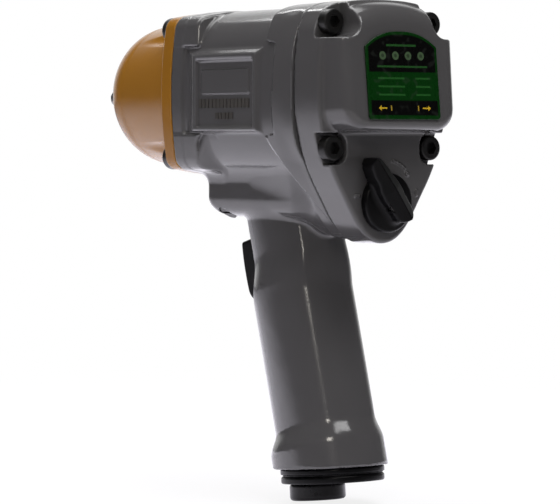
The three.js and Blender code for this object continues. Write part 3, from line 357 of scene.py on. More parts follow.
# the egg outline of the rear end, from the top down the left side, as its radius at each angle
shoulder, flank = (0.84 * egg_half, 0.84 * egg_top), (0.665 * egg_half, -0.64 * egg_depth)
side_point = (egg_half, 0)
egg_curve = np.concatenate([
    bezier((0, egg_top), (0.42 * egg_half, egg_top), (0.74 * egg_half, 0.965 * egg_top), shoulder),
    bezier(shoulder, (0.97 * egg_half, 0.66 * egg_top), (egg_half, 0.3 * egg_top), side_point),
    bezier(side_point, (egg_half, -0.28 * egg_depth), (0.845 * egg_half, -0.48 * egg_depth), flank),
    bezier(flank, (0.475 * egg_half, -0.80 * egg_depth), (0.33 * egg_half, -egg_depth),
           (0, -egg_depth)), [(0, -egg_depth)]])
egg_angles = np.arctan2(egg_curve[:, 0], egg_curve[:, 1])
egg_radii = np.hypot(*egg_curve.T)
egg_slopes = np.gradient(egg_radii, egg_angles) / egg_radii


def egg(u, v):
    angle = np.arctan2(np.abs(u), v)
    radius = np.interp(angle, egg_angles, egg_radii)
    slope = np.interp(angle, egg_angles, egg_slopes)
    return (np.hypot(u, v) - radius) / np.sqrt(1 + slope * slope)


def in_grip(x, y, z):
    """A place in the handle's own frame: forward of its axis, left, and up along it."""
    dx, dz = x - grip_origin[0], z - grip_origin[2]
    return dx * cos(grip_lean) - dz * sin(grip_lean), y, dx * sin(grip_lean) + dz * cos(grip_lean)


def in_foot(gx, gy, gz):
    """The same place in the frame of the handle's base, which leans less than the handle."""
    turn = foot_lean - grip_lean
    up = gz - grip_base
    return gx * cos(turn) - up * sin(turn), gy, gx * sin(turn) + up * cos(turn)


def grip_section(gx, gy, grow):
    sides = oval(gx, gy, grip_long, grip_wide)
    back = np.hypot(gx - 0.3, gy) - grip_back
    ahead = np.hypot(gx + 0.3, gy) - grip_ahead
    return trim(trim(sides, back, 0.8), ahead, 3.0) - grow


def flange_square(y, z):
    """The square flange's outline: its four sides bow outwards a little."""
    across, up = np.abs(y) + 0.0034 * z * z, np.abs(z) + 0.0035 * y * y
    return rectangle(across, up, flange_half, flange_tall, flange_corner)


def housing(x, y, z):
    side = np.abs(y)
    gx, gy, gz = in_grip(x, y, z)
    fx, fy, fz = in_foot(gx, gy, gz)
    out = np.hypot(y, z)
    # the barrel and the square flange behind the nose, with a thick ear at each corner
    squareness = np.abs(y / barrel_half) ** barrel_power + np.abs(z / barrel_tall) ** barrel_power
    squareness = squareness ** (1 / barrel_power) + 1e-9
    shell = out * (1 - 1 / squareness)
    square = flange_square(y, z)
    plate = trim(square, front - 6.2 - x, 1.2)
    upper = trim(trim(square, 17.6 - z, 1.0), front - 15.6 + 0.3 * shell - x, 1.4)
    lower = trim(trim(square, 15.6 + z, 1.0), (front - 19.0 + 1.15 * shell - x) / 1.5, 1.2)
    ears = trim(join(upper, lower), 14.0 - side, 1.5)
    body = join(shell, join(plate, ears, 0.8), 1.2)
    scoop = trim(rectangle(x + 98.6, z + 22.5, 5.6, 7.0, 4.0), 30.6 - side)
    body = cut(body, scoop, 1.0)
    # the side panels: a raised pad with sloped sides and a shallow tray in its face
    proud = np.minimum(pad_out - side, 2.4)
    pad = trim(side - pad_out, (pad_rear - 0.8 * proud - x) / 1.3, 0.4)
    pad = trim(pad, (x - pad_front - 2.4 * proud) / 2.6, 0.5)
    pad = trim(pad, (z - pad_top - 0.8 * proud) / 1.3, 0.4)
    pad = trim(pad, (pad_bottom - z - 0.5 * proud) / 1.1, 0.4)
    tray_wall = rectangle(x - tray_station, z - tray_height, tray_half, tray_tall, 1.0)
    tray = trim((tray_wall + proud * 0.9) / 1.3, tray_out - side, 0.35)
    pad = cut(pad, tray, 0.35)
    name_bar = trim(rectangle(x + 111.6, z - 3.9, 15.0, 4.6, 1.1), side - 32.2, 0.25)
    pad = join(pad, name_bar, 0.3)
    body = join(body, pad, 0.7)
    # the rear flange, fuller at its front edge, and the tail that runs down into the belly
    fuller = 1 + 0.058 * ramp(x, rear, rear + 12)
    rim = egg(y / fuller, z / (1 - 0.01 * ramp(x, rear, rear + 12)))
    rim_front = np.where(z > 0, 16.4, 17.4 - 0.5 * np.maximum(-z - 15.4, 0))
    rim_front = rim_front - 6.0 * ramp(-np.abs(z - 1.0), -18.0, -16.6)
    body = join(body, trim(rim, x - rear - rim_front, 0.9), 1.0)
    share = np.clip((x - rear - 8) / 38, 0, 1)
    drop = 1 + (48.6 / 54.6 - 1) * share
    tail = egg(y * (1.05 + 0.15 * share), np.where(z < 0, z / drop, z * 1.12)) + 1.2
    body = join(body, trim(tail, x - rear - 46, 6.0), 2.0)
    # the belly under the barrel
    belly = rectangle(y, z - belly_height, belly_half, belly_tall, 8.5)
    nose_down = rectangle(x - belly_station, z - belly_height, belly_reach, belly_tall, 9.5)
    body = join(body, trim(belly, nose_down, 4.5), 4.5)
    body = trim(trim(body, x - front, 0.4), rear - x, 0.4)
    # the handle
    flare = ramp(-gz, 53.5, 62.5)
    grow = 4.0 * flare - 1.6 * ramp(gz, 0, 14)
    forward = 0.8 * flare - 2.4 * ramp(gz, -4, 12)
    handle = grip_section(gx - forward, gy, grow)
    handle = trim(trim(handle, -fz, 1.0), gz - 34)
    body = join(body, handle, 2.6)
    # everything bored or milled out
    body = cut(body, trim(out - bore, between(x, rear - 1, front + 1)))
    valve = np.hypot(y, z - knob_height)
    body = cut(body, trim(valve - 9.2, between(x, rear - 1, rear + 24.9)))
    body = cut(body, trim(np.hypot(fx - inlet_ahead, fy) - inlet_radius, fz - 9.5))
    chamber = np.hypot(gx - throttle, gy)
    body = cut(body, trim(chamber - chamber_radius, between(gz, -32, 18)))
    body = cut(body, trim(chamber - 5.0, between(gz, -64, -31)))
    body = cut(body, trim(np.hypot(gx - exhaust, gy) - exhaust_radius, gz - 6))
    pocket = trim(rectangle(gy, gz - 12.3, 6.8, 12.9, 0.6), 12.6 - gx)
    body = cut(body, pocket, 0.5)
    stem = trim(np.hypot(gy, gz - 10) - 4.2, between(gx, 4, 14))
    body = cut(body, stem)
    plug_side, plug_up = y - 9.0, z + 39.6
    plug_along = plug_side * sin(plug_lean) - plug_up * cos(plug_lean)
    plug_out = np.hypot(x - plug_station, plug_side * cos(plug_lean) + plug_up * sin(plug_lean))
    body = cut(body, trim(plug_out - 3.7, 2.0 - plug_along), 0.3)
    hole = np.hypot(side - screws_front[0], np.abs(z) - screws_front[1]) - screw_hole
    body = cut(body, trim(hole, between(x, front - 14.2, front + 1)))
    for across, up in screws_rear:
        hole = np.hypot(side - across, z - up) - screw_hole
        body = cut(body, trim(hole, between(x, rear - 1, rear + 10)))
    return body


housing_grid = (spaced((-164, -158, 1.2), (-158, -77, 0.68)), spaced((-35, 35, 0.72)),
                spaced((-146, -60, 1.1), (-60, 36, 0.66)))
motor_housing = casting("housing_casting", housing, housing_grid)


def noise(place, scale, detail, roughness):
    """A noise pattern, as grey, over a place."""
    return place.node("ShaderNodeTexNoise", None, {
        "Vector": place, "Scale": scale, "Detail": detail, "Roughness": roughness})


def paint(name, colour, edge_wear_and_highlight_colour, flake=0.0, roughness=0.16, shine=0.5):
    """Gloss enamel over a casting: slow waves, fine orange peel, convex edges a little paler as worn
    paint and as a painted highlight, and hollows darker as painted shade.
    """
    material, start = surface(name)
    place = start.node("ShaderNodeTexCoord", out=3)
    edge = start.node("ShaderNodeAttribute", {"attribute_name": "edge"}, out=2)
    cloud = noise(place, 70.0, 3.0, 0.5)
    peel = noise(place, 900.0, 2.0, 0.5)
    wave = noise(place, 130.0, 1.0, 0.4)
    grain = noise(place, 2600.0, 1.0, 0.6)
    # convex edges turn paler: partly paint worn thin, partly a painted highlight along the rounded
    # edges
    edge_wear_and_highlight = edge.between(0.9, 2.6) * (0.35 + 0.65 * cloud)
    # hollows, pockets and inner fillets are painted darker: painted shade
    painted_hollow_shade = edge.between(-0.6, -2.4)
    tint = (cloud - 0.5) * 0.10 + (grain - 0.5) * flake
    dark = tuple(0.80 * c for c in colour)
    light = tuple(min(1.2 * c, 1.0) for c in colour)
    base = (tint + 0.5).between(0.0, 1.0).blend(dark, light)
    base = edge_wear_and_highlight.blend(base, edge_wear_and_highlight_colour)
    base = (painted_hollow_shade * 0.45).blend(base, tuple(0.45 * c for c in colour))
    gloss = roughness + 0.10 * (cloud - 0.5) + 0.08 * edge_wear_and_highlight
    height = 0.55 * wave + 0.16 * peel
    bump = start.node("ShaderNodeBump", None, {
        "Height": height, "Strength": 0.10, "Distance": 0.0012})
    shader = start.node("ShaderNodeBsdfPrincipled", None, {
        "Base Color": base, "Roughness": gloss, "Specular IOR Level": shine, "Normal": bump})
    start.node("ShaderNodeOutputMaterial", None, {0: shader})
    return material


grey_enamel = paint("grey_enamel", (0.068, 0.066, 0.068), (0.13, 0.13, 0.135))
motor_housing.data.materials.append(grey_enamel)
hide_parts("motor_housing")
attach(motor_housing, "housing")


# ---- nose case -----------------------------------------------------------------------------
# The clutch turns inside this domed cast case. It is bolted to the housing's square flange,
# and its dome is scooped out ahead of each screw. The enamel is orange-gold.
nose_front, nose_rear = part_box("nose_case")[1][0] / mm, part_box("nose_case")[0][0] / mm
flange_front, collar_radius = nose_rear + 6.6, 13.6
cavity_radius, cavity_end, bushing_bore, scoop_radius = 26.1, -28.5, 12.8, 5.6
dome_start, dome_radius, dome_front, dome_end, widening = 12.5, 27.8, -19.5, -37.5, 0.10


def nose(x, y, z):
    out = np.hypot(y, z)
    side = np.abs(y)
    ahead = np.maximum(x - dome_end, 0)
    wide = out - widening * np.maximum(dome_end - x, 0)
    dome = oval(ahead, np.maximum(wide - dome_start, 0), dome_front - dome_end,
                dome_radius - dome_start)
    collar = trim(trim(out - collar_radius, x - nose_front, 0.7), dome_front - 6 - x)
    dome = join(dome, collar, 1.2)
    flange = trim(flange_square(y, z), x - flange_front, 1.0)
    body = join(dome, flange, 1.2)
    body = trim(body, nose_rear - x, 0.4)
    height = np.abs(z)
    scoop = np.hypot(side - screws_front[0], height - screws_front[1]) - scoop_radius
    body = cut(body, trim(scoop, flange_front - x, 0.6), 0.5)
    hole = np.hypot(side - screws_front[0], height - screws_front[1]) - screw_hole
    body = cut(body, hole)
    taper = cavity_radius - 4.1 * np.clip((x + 32.0) / 3.5, 0, 1)
    body = cut(body, trim(out - taper, x - cavity_end))
    return cut(body, out - bushing_bore, 0.6)


nose_case = casting("nose_casting", nose, (spaced((-80, -14, 0.62)), spaced((-34, 34, 0.66)),
                                           spaced((-34, 34, 0.66))))
orange_enamel = paint("orange_enamel", (0.262, 0.112, 0.010), (0.40, 0.20, 0.04), 0.25, 0.20,
                      shine=0.25)
nose_case.data.materials.append(orange_enamel)
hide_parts("nose_case")
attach(nose_case, "housing")


# ---- gaskets --------------------------------------------------------------------------------
# A sheet of black gasket fibre is stamped to the outline of each joint of the housing, with the
# bore and the screw holes punched through it.
def sheet_stock(name, colour, second, scale, roughness):
    """Pressed sheet, such as gasket fibre, phenolic cloth or felt."""
    material, start = surface(name)
    place = start.node("ShaderNodeTexCoord", out=3)
    fibre = start.node("ShaderNodeTexNoise", None, {
        "Vector": place, "Scale": scale, "Detail": 5.0, "Roughness": 0.7, "Distortion": 1.2})
    base = fibre.between(0.35, 0.65).blend(colour, second)
    bump = start.node("ShaderNodeBump", None, {
        "Height": fibre, "Strength": 0.6, "Distance": 0.0001})
    shader = start.node("ShaderNodeBsdfPrincipled", None, {
        "Base Color": base, "Roughness": roughness + 0.1 * fibre, "Normal": bump})
    start.node("ShaderNodeOutputMaterial", None, {0: shader})
    return material


gasket_fibre = sheet_stock("gasket_fibre", (0.008, 0.008, 0.008), (0.016, 0.015, 0.014), 700.0, 0.7)


def stamped(node, outline, holes, low):
    back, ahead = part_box(node)[0][0] / mm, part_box(node)[1][0] / mm

    def sheet(x, y, z):
        body = trim(outline(y, z) + 0.35, between(x, back, ahead))
        body = cut(body, np.hypot(y, z) - bore)
        body = cut(body, np.hypot(y, z - knob_height) - 8.8)
        for across, up in holes:
            body = cut(body, np.hypot(np.abs(y) - across, z - up) - screw_hole)
        return body

    grid = (spaced((back - 0.5, ahead + 0.5, 0.16)), spaced((-33, 33, 0.6)), spaced((low, 35, 0.6)))
    made = casting(node + "_stamping", sheet, grid)
    made.data.materials.append(gasket_fibre)
    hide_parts(node)
    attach(made, "housing")


stamped("nose_gasket", flange_square, (screws_front, (screws_front[0], -screws_front[1])), -35)
stamped("rear_gasket", egg, screws_rear, -58)


# ---- cap screws ----------------------------------------------------------------------------
# Eight hexagon-socket cap screws of blackened steel: four hold the nose to the square flange,
# and four hold the rear cover. They are turned, and the sockets are punched.
def recipe(name, inputs):
    """A geometry node tree with named inputs, and those inputs as sockets to build on."""
    tree = bpy.data.node_groups.new(name, "GeometryNodeTree")
    tree.interface.new_socket("Geometry", in_out="OUTPUT", socket_type="NodeSocketGeometry")
    kinds = {int: "NodeSocketInt", float: "NodeSocketFloat", tuple: "NodeSocketVector"}
    for label, value in inputs.items():
        made = tree.interface.new_socket(label, in_out="INPUT", socket_type=kinds[type(value)])
        made.default_value = value
    given = tree.nodes.new("NodeGroupInput")
    return Pattern(tree), {label: Pattern(tree, given.outputs[label]) for label in inputs}


def serve(start, geometry, material):
    """Ends a tree: its instances are made real and are given their finish."""
    solid = start.node("GeometryNodeRealizeInstances", None, {0: geometry})
    coated = start.node("GeometryNodeSetMaterial", None, {"Geometry": solid, "Material": material})
    start.node("NodeGroupOutput", None, {0: coated})


def grown(name, start, sizes):
    """Runs a tree with its inputs set, and keeps the result as a plain mesh."""
    holder = bpy.data.objects.new(name + "_seed", bpy.data.meshes.new(name + "_seed"))
    scene.collection.objects.link(holder)
    modifier = holder.modifiers.new("grow", "NODES")
    modifier.node_group = start.tree
    for item in start.tree.interface.items_tree:
        if item.in_out == "INPUT" and item.name in sizes:
            modifier[item.identifier] = sizes[item.name]
    ready = holder.evaluated_get(bpy.context.evaluated_depsgraph_get())
    mesh = bpy.data.meshes.new_from_object(ready)
    holder.modifiers.remove(modifier)
    bpy.data.objects.remove(holder)
    mesh.name = name
    made = bpy.data.objects.new(name, mesh)
    scene.collection.objects.link(made)
    return made


def metal(name, colour, roughness, mottle=0.12, scale=900.0, depth=0.00004, metallic=1.0):
    """Bare or blackened metal, with a fine cut grain, stains and a gloss that varies."""
    material, start = surface(name)
    place = start.node("ShaderNodeTexCoord", out=3)
    stain = noise(place, 160.0, 4.0, 0.6)
    grain = noise(place, scale, 2.0, 0.6)
    dark = tuple((1 - mottle) * c for c in colour)
    light = tuple(min((1 + mottle) * c, 1.0) for c in colour)
    base = (0.7 * stain + 0.3 * grain).between(0.3, 0.7).blend(dark, light)
    gloss = roughness + 0.16 * (stain - 0.5) + 0.10 * (grain - 0.5)
    bump = start.node("ShaderNodeBump", None, {
        "Height": grain + 0.5 * stain, "Strength": 0.5, "Distance": depth})
    shader = start.node("ShaderNodeBsdfPrincipled", None, {
        "Base Color": base, "Roughness": gloss, "Metallic": metallic,
        "Specular IOR Level": 0.3, "Normal": bump})
    start.node("ShaderNodeOutputMaterial", None, {0: shader})
    return material


black_oxide = metal("black_oxide", (0.010, 0.0097, 0.0095), 0.36, 0.25, metallic=0.35)

start, size = recipe("cap_screws", {
    "Head radius": 4.3 * mm, "Head height": 4.4 * mm, "Shank radius": 2.5 * mm,
    "Shank length": 14.0 * mm, "Socket radius": 2.45 * mm, "Socket depth": 2.3 * mm,
    "Width apart": 47.0 * mm, "Height apart": 49.0 * mm, "Facing": (0.0, 0.0, 0.0),
    "Centre": (0.0, 0.0, 0.0)})
stations = start.node("GeometryNodeMeshLine", None, {
    "Count": 9, "Start Location": (0.0, 0.0, 0.0), "Offset": (0.0, 0.0, 0.001)})
rail = start.node("GeometryNodeMeshToCurve", None, {0: stations})
index = start.node("GeometryNodeInputIndex")


def by_station(values):
    """Hands each point of the rail its own value, in order."""
    made = start.node("GeometryNodeIndexSwitch", {"data_type": "FLOAT"}, {"Index": index})
    switch = made.socket.node
    while len(switch.index_switch_items) < len(values):
        switch.index_switch_items.new()
    made = Pattern(start.tree, switch.outputs[0])
    for socket, value in zip(list(switch.inputs)[1:], values):
        if isinstance(value, Pattern):
            start.tree.links.new(value.socket, socket)
        else:
            socket.default_value = value
    return made


head_height, head_radius = size["Head height"], size["Head radius"]
shank, length = size["Shank radius"], size["Shank length"]
heights = by_station([0.0 - length, 0.8 * mm - length, -0.03 * mm + 0.0 * length, 0.0,
                      0.3 * mm, head_height - 0.9 * mm, head_height - 0.35 * mm,
                      head_height - 0.1 * mm, head_height])
girths = by_station([shank * 0.7, shank, shank, head_radius - 0.3 * mm, head_radius, head_radius,
                     head_radius - 0.12 * mm, head_radius - 0.4 * mm, head_radius - 0.8 * mm])
up = start.node("ShaderNodeCombineXYZ", None, {"Z": heights})
rail = start.node("GeometryNodeSetPosition", None, {"Geometry": rail, "Position": up})
ring = start.node("GeometryNodeCurvePrimitiveCircle", None, {"Resolution": 40, "Radius": 1.0})
turned = start.node("GeometryNodeCurveToMesh", None, {
    0: rail, 1: ring, "Scale": girths, "Fill Caps": True})
punch = start.node("GeometryNodeMeshCylinder", None, {
    "Vertices": 6, "Radius": size["Socket radius"], "Depth": size["Socket depth"] * 2.0})
lift = start.node("ShaderNodeCombineXYZ", None, {"Z": head_height + 0.004 * mm})
punch = start.node("GeometryNodeTransform", None, {"Geometry": punch, "Translation": lift})
punched = start.node("GeometryNodeMeshBoolean", {"operation": "DIFFERENCE", "solver": "EXACT"}, {
    "Mesh 1": turned, "Mesh 2": punch})
smooth = start.node("GeometryNodeSetShadeSmooth", {"domain": "FACE"}, {0: punched})
sharp = start.node("GeometryNodeInputMeshEdgeAngle").maths("GREATER_THAN", 0.6)
screw = start.node("GeometryNodeSetShadeSmooth", {"domain": "EDGE"}, {
    0: smooth, "Selection": sharp, "Shade Smooth": False})
corners = start.node("GeometryNodeMeshGrid", None, {
    "Size X": size["Width apart"], "Size Y": size["Height apart"],
    "Vertices X": 2, "Vertices Y": 2})
four = start.node("GeometryNodeInstanceOnPoints", None, {"Points": corners, "Instance": screw})
turn = start.node("FunctionNodeEulerToRotation", None, {0: size["Facing"]})
placed = start.node("GeometryNodeTransform", None, {
    "Geometry": four, "Translation": size["Centre"], "Rotation": turn})
serve(start, placed, black_oxide)

nose_screws = grown("nose_cap_screws", start, {
    "Width apart": 2 * screws_front[0] * mm, "Height apart": 2 * screws_front[1] * mm,
    "Shank length": 20.6 * mm, "Facing": (pi / 2, 0.0, pi / 2), "Head radius": 4.9 * mm,
    "Head height": 5.8 * mm,
    "Centre": (flange_front * mm, 0.0, 0.0)})
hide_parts("nose_screw_1", "nose_screw_2", "nose_screw_3", "nose_screw_4")
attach(nose_screws, "housing")

cover_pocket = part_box("rear_screw_1")[0][0] / mm + 4.4
rear_screws = grown("rear_cap_screws", start, {
    "Width apart": 2 * screws_rear[0][0] * mm, "Head radius": 4.6 * mm,
    "Height apart": (screws_rear[0][1] - screws_rear[1][1]) * mm,
    "Shank length": 19.0 * mm, "Facing": (pi / 2, 0.0, -pi / 2),
    "Centre": (cover_pocket * mm, 0.0, (screws_rear[0][1] + screws_rear[1][1]) / 2 * mm)})
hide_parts("rear_screw_1", "rear_screw_2", "rear_screw_3", "rear_screw_4")
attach(rear_screws, "housing")


# ---- side panel marks ----------------------------------------------------------------------
# Two rows of small raised bars are cast in the tray of each side panel, below the plain name
# plate. They are part of the casting and stand in for its lettering.
start, size = recipe("panel_bars", {
    "Count": 12, "Pitch": 2.6 * mm, "Bar height": 3.2 * mm, "Bar depth": 0.7 * mm,
    "Place": (0.0, 0.0, 0.0), "Side": 1.0, "Seed": 3})
along = start.node("ShaderNodeCombineXYZ", None, {"X": size["Pitch"]})
points = start.node("GeometryNodeMeshLine", None, {"Count": size["Count"], "Offset": along})
width = start.node("FunctionNodeRandomValue", {"data_type": "FLOAT"}, {
    2: 0.55, 3: 0.92, "Seed": size["Seed"]}, out=1)
spread_x = start.node("ShaderNodeCombineXYZ", None, {
    "X": width * size["Pitch"], "Y": size["Bar depth"], "Z": size["Bar height"]})
bar = start.node("GeometryNodeMeshCube", None, {"Size": (1.0, 1.0, 1.0)})
bars = start.node("GeometryNodeInstanceOnPoints", None, {
    "Points": points, "Instance": bar, "Scale": spread_x})
moved = start.node("GeometryNodeTransform", None, {"Geometry": bars, "Translation": size["Place"]})
tin_grey = paint("relief_enamel", (0.052, 0.048, 0.044), (0.10, 0.09, 0.08))
serve(start, moved, tin_grey)
panel_marks = []
for side in (-1, 1):
    for row, (first, height, tall, count, pitch) in enumerate((
            (-125.6, -4.2, 3.4, 14, 2.28), (-115.6, -8.9, 2.3, 5, 2.3))):
        name = f"panel_marks_{'left' if side > 0 else 'right'}_{row + 1}"
        panel_marks.append(grown(name, start, {
            "Count": count, "Pitch": pitch * mm, "Bar height": tall * mm, "Seed": 3 + row,
            "Place": (first * mm, side * 31.75 * mm, height * mm)}))
for marks in panel_marks:
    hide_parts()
    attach(marks, "housing")


# ---- rear cover ----------------------------------------------------------------------------
# The cover closes the air motor and carries the reversing valve. It is an aluminium casting in
# the same grey enamel, with a tall block whose leaning face takes the label.
cover_front, plate_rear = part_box("rear_gasket")[0][0] / mm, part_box("reverse_knob")[1][0] / mm + 0.3
face_station, face_height, face_lean = cover_front - 26.3, -10.6, radians(6)
block_height, block_half, block_tall, block_top, block_corner = 9.5, 28.4, 24.6, 33.4, 8.5
pocket_top, pocket_low, arc_radius = 5.8, (5.6, 5.8), 16.0


def cover(x, y, z):
    side = np.abs(y)
    rim = egg(y, z)
    body = trim(rim, plate_rear - x, 1.3)
    face = (face_station + (z - face_height) * tan(face_lean) - x) * cos(face_lean)
    depth = np.clip(-166.0 - x, 0, 14)
    block = rectangle(y, z - block_height, block_half - 0.26 * depth, block_tall - 0.06 * depth,
                      block_corner)
    arch = z - block_top + 0.010 * y * y
    block = trim(block, trim(face, arch, 9.0), 3.6)
    body = join(body, block, 1.2)
    # raised marks round the knob: an arc with a dot at its end, and a pip on each side
    kz = z - knob_height
    reach = np.hypot(y, kz)
    turned = np.arctan2(-y, kz)
    sweep = arc_radius * between(turned, radians(14), radians(40))
    arc = trim(np.abs(reach - arc_radius) - 0.55, sweep)
    pips = join(np.hypot(y + 11.2, z + 30.6) - 1.0,
                rectangle(y - 12.6, z + 38.4, 1.5, 0.7, 0.6))
    pips = join(pips, rectangle(y + 15.6, z + 37.6, 0.7, 1.5, 0.6))
    marks = trim(join(arc, pips), plate_rear - 0.45 - x, 0.25)
    body = join(body, marks, 0.25)
    # open pockets for the heads of the four screws
    (across_top, up_top), (across_low, up_low) = screws_rear
    top = np.hypot(np.maximum(across_top - side, 0), np.maximum(up_top - z, 0)) - pocket_top
    body = cut(body, trim(top, x - cover_pocket, 0.8), 0.7)
    low = rectangle(np.minimum(side - across_low, 0), z - up_low + 0.2, *pocket_low, 4.5)
    body = cut(body, trim(low, x - cover_pocket, 0.6), 0.5)
    body = trim(body, x - cover_front, 0.3)
    # the air passage, the valve's stem hole, the detent hole and the screw holes
    cavity = trim(between(x, plate_rear - 2, cover_front + 1), side - 15)
    body = cut(body, trim(cavity, between(z, -8, 17)))
    port = trim(trim(side - 4, between(z, -39, 0)), -(x - cover_front + 7))
    body = cut(body, port)
    body = cut(body, np.hypot(y, z + 33) - 1.8 + np.maximum(x - plate_rear - 8, 0))
    body = cut(body, np.hypot(y, kz) - 4.3)
    for across, height in screws_rear:
        body = cut(body, np.hypot(side - across, z - height) - screw_hole)
    return body


rear_cover = casting("rear_cover_casting", cover, (
    spaced((-180, -150, 0.6)), spaced((-32, 32, 0.62)), spaced((-58, 35, 0.66))))
rear_cover.data.materials.append(grey_enamel)
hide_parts("rear_cover")
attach(rear_cover, "housing")


# ---- label -----------------------------------------------------------------------------------
# A printed aluminium plate with an arched top is stuck to the cover's leaning face. Its print
# is generic: four dots, plain bars in place of words, and an arrow for each way of turning.
label_half, label_tall, label_arch, label_thick = 16.8, 26.6, 5.6, 0.6


def label_outline(inset):
    half, tall, corner = label_half - inset, label_tall - inset, 1.2
    points = []
    for turn in np.linspace(-pi / 2, 0, 6):
        points.append((half - corner + corner * cos(turn), inset + corner + corner * sin(turn)))
    for share in np.linspace(0, 1, 33):
        across = half * (1 - 2 * share)
        points.append((across, tall + label_arch * (1 - abs(across / label_half) ** 2.5)))
    for turn in np.linspace(-pi, -pi / 2, 6):
        points.append((-half + corner + corner * cos(turn), inset + corner + corner * sin(turn)))
    return points


def on_face(across, up, out):
    """A place on the cover's leaning face, in metres."""
    x = face_station + up * sin(face_lean) - out * cos(face_lean)
    return (x * mm, across * mm, (face_height + up * cos(face_lean) + out * sin(face_lean)) * mm)


plate = bmesh.new()
rings = []
for inset, out in ((0.0, 0.3), (0.0, 0.3 + label_thick - 0.12), (0.12, 0.3 + label_thick)):
    rings.append([plate.verts.new(on_face(a, u, out)) for a, u in label_outline(inset)])
for low, high in zip(rings, rings[1:]):
    for i in range(len(low)):
        j = (i + 1) % len(low)
        plate.faces.new((low[i], high[i], high[j], low[j]))
plate.faces.new(rings[0])
plate.faces.new(rings[-1][::-1])
bmesh.ops.recalc_face_normals(plate, faces=plate.faces)
label_mesh = bpy.data.meshes.new("printed_label")
plate.to_mesh(label_mesh)
plate.free()
label = bpy.data.objects.new("printed_label", label_mesh)
scene.collection.objects.link(label)

label_print, start = surface("label_print")
place = start.node("ShaderNodeTexCoord", out=3)
across = start.node("ShaderNodeSeparateXYZ", None, {0: place}, out=1) / mm
rise = (start.node("ShaderNodeSeparateXYZ", None, {0: place}, out=2) / mm
        - face_height) / cos(face_lean)


def patch(value, middle, half, soft=0.12):
    """1 where a value is within a half-width of its middle, with a slightly soft edge."""
    return abs(value - middle).between(half + soft, half - soft)


ceiling = label_tall + label_arch - label_arch * (abs(across) / label_half).maths("POWER", 2.5)
inner = patch(across, 0.0, label_half - 1.1) * (ceiling - rise).between(0.9, 1.2)
upper_field = rise.between(17.3, 17.5) * inner
lower_field = patch(rise, 4.3, 2.7) * inner
black_fields = upper_field.maths("MAXIMUM", lower_field)
dots = 0.0
for centre in (-9.0, -3.0, 3.0, 9.0):
    gap = start.node("ShaderNodeCombineXYZ", None, {"X": across - centre, "Y": rise - 23.4})
    spot = start.node("ShaderNodeVectorMath", {"operation": "LENGTH"}, {0: gap}, out=1)
    disc = spot.between(1.65, 1.45) * (1.0 - 0.5 * spot.between(0.75, 0.6))
    dots = dots + disc
speck = start.node("ShaderNodeTexNoise", None, {
    "Vector": place, "Scale": 420.0, "Detail": 0.0}, out=0)
bars = 0.0
for middle, half, thick in ((27.2, 7.0, 0.38), (19.4, 11.8, 0.34)):
    bars = bars + patch(rise, middle, thick) * patch(across, 0.0, half)
lines = 0.0
for middle in (15.1, 12.1, 9.1):
    lines = lines + patch(rise, middle, 0.34) * (
        patch(across, 5.6, 6.2) + patch(across, -9.2, 3.4))
arrows = 0.0
for centre, heading in ((10.4, 1.0), (-10.4, -1.0)):
    ahead = (across - centre) * heading
    shaft = patch(rise, 4.2, 0.26, 0.06) * patch(ahead, -0.3, 1.6, 0.06)
    barb = (0.95 - 0.8 * (ahead - 0.7) - abs(rise - 4.2)).between(-0.05, 0.05)
    arrows = arrows + (shaft + barb * ahead.between(0.55, 0.75)).maths("MINIMUM", 1.0)
ticks = 0.0
for centre in (6.4, -6.4):
    ticks = ticks + patch(across, centre, 0.28, 0.06) * patch(rise, 4.2, 0.95, 0.06)
ink = black_fields.blend((0.001, 0.026, 0.002), (0.0012, 0.0011, 0.0011))
ink = (dots * 0.7).blend(ink, (0.07, 0.12, 0.06))
ink = ((bars + lines) * 0.45).blend(ink, (0.03, 0.14, 0.03))
ink = arrows.blend(ink, (0.55, 0.36, 0.02))
ink = ticks.blend(ink, (0.30, 0.20, 0.02))
ink = (speck.between(0.62, 0.75) * 0.12).blend(ink, (0.05, 0.06, 0.05))
shader = start.node("ShaderNodeBsdfPrincipled", None, {
    "Base Color": ink, "Roughness": 0.24 + 0.10 * speck, "Specular IOR Level": 0.14})
start.node("ShaderNodeOutputMaterial", None, {0: shader})
label_mesh.materials.append(label_print)
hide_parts("rear_label")
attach(label, "housing")


# ---- reversing knob ---------------------------------------------------------------------------
# A moulded black nylon knob turns the reversing valve. A round base carries a pointer with a
# ridge along its back; the pin through both locks it to the valve's stem.
def plastic(name, colour, roughness=0.34):
    """Moulded nylon: a fine spark-eroded grain, with the gloss rubbed up in patches, and convex edges
    lighter as rubbed wear and as a painted highlight.
    """
    material, start = surface(name)
    place = start.node("ShaderNodeTexCoord", out=3)
    edge = start.node("ShaderNodeAttribute", {"attribute_name": "edge"}, out=2)
    grain = noise(place, 1700.0, 2.0, 0.6)
    cloud = noise(place, 110.0, 3.0, 0.55)
    dark = tuple(0.75 * c for c in colour)
    light = tuple(1.35 * c for c in colour)
    base = cloud.between(0.3, 0.7).blend(dark, light)
    # convex edges turn lighter: partly rubbed wear, partly a painted highlight along ridges and edges
    base = (edge.between(0.8, 2.6) * 0.5).blend(base, tuple(2.4 * c for c in colour))
    gloss = roughness + 0.14 * (cloud - 0.5) - 0.08 * edge.between(0.6, 2.4)
    bump = start.node("ShaderNodeBump", None, {
        "Height": grain, "Strength": 0.35, "Distance": 0.00005})
    shader = start.node("ShaderNodeBsdfPrincipled", None, {
        "Base Color": base, "Roughness": gloss, "Specular IOR Level": 0.10, "Normal": bump})
    start.node("ShaderNodeOutputMaterial", None, {0: shader})
    return material


knob_face = plate_rear - 0.3
pointer, knob_radius, pointer_high = radians(35), 11.0, 11.4
pin_high, pin_radius, stem_radius = 6.0, 1.0, 4.1


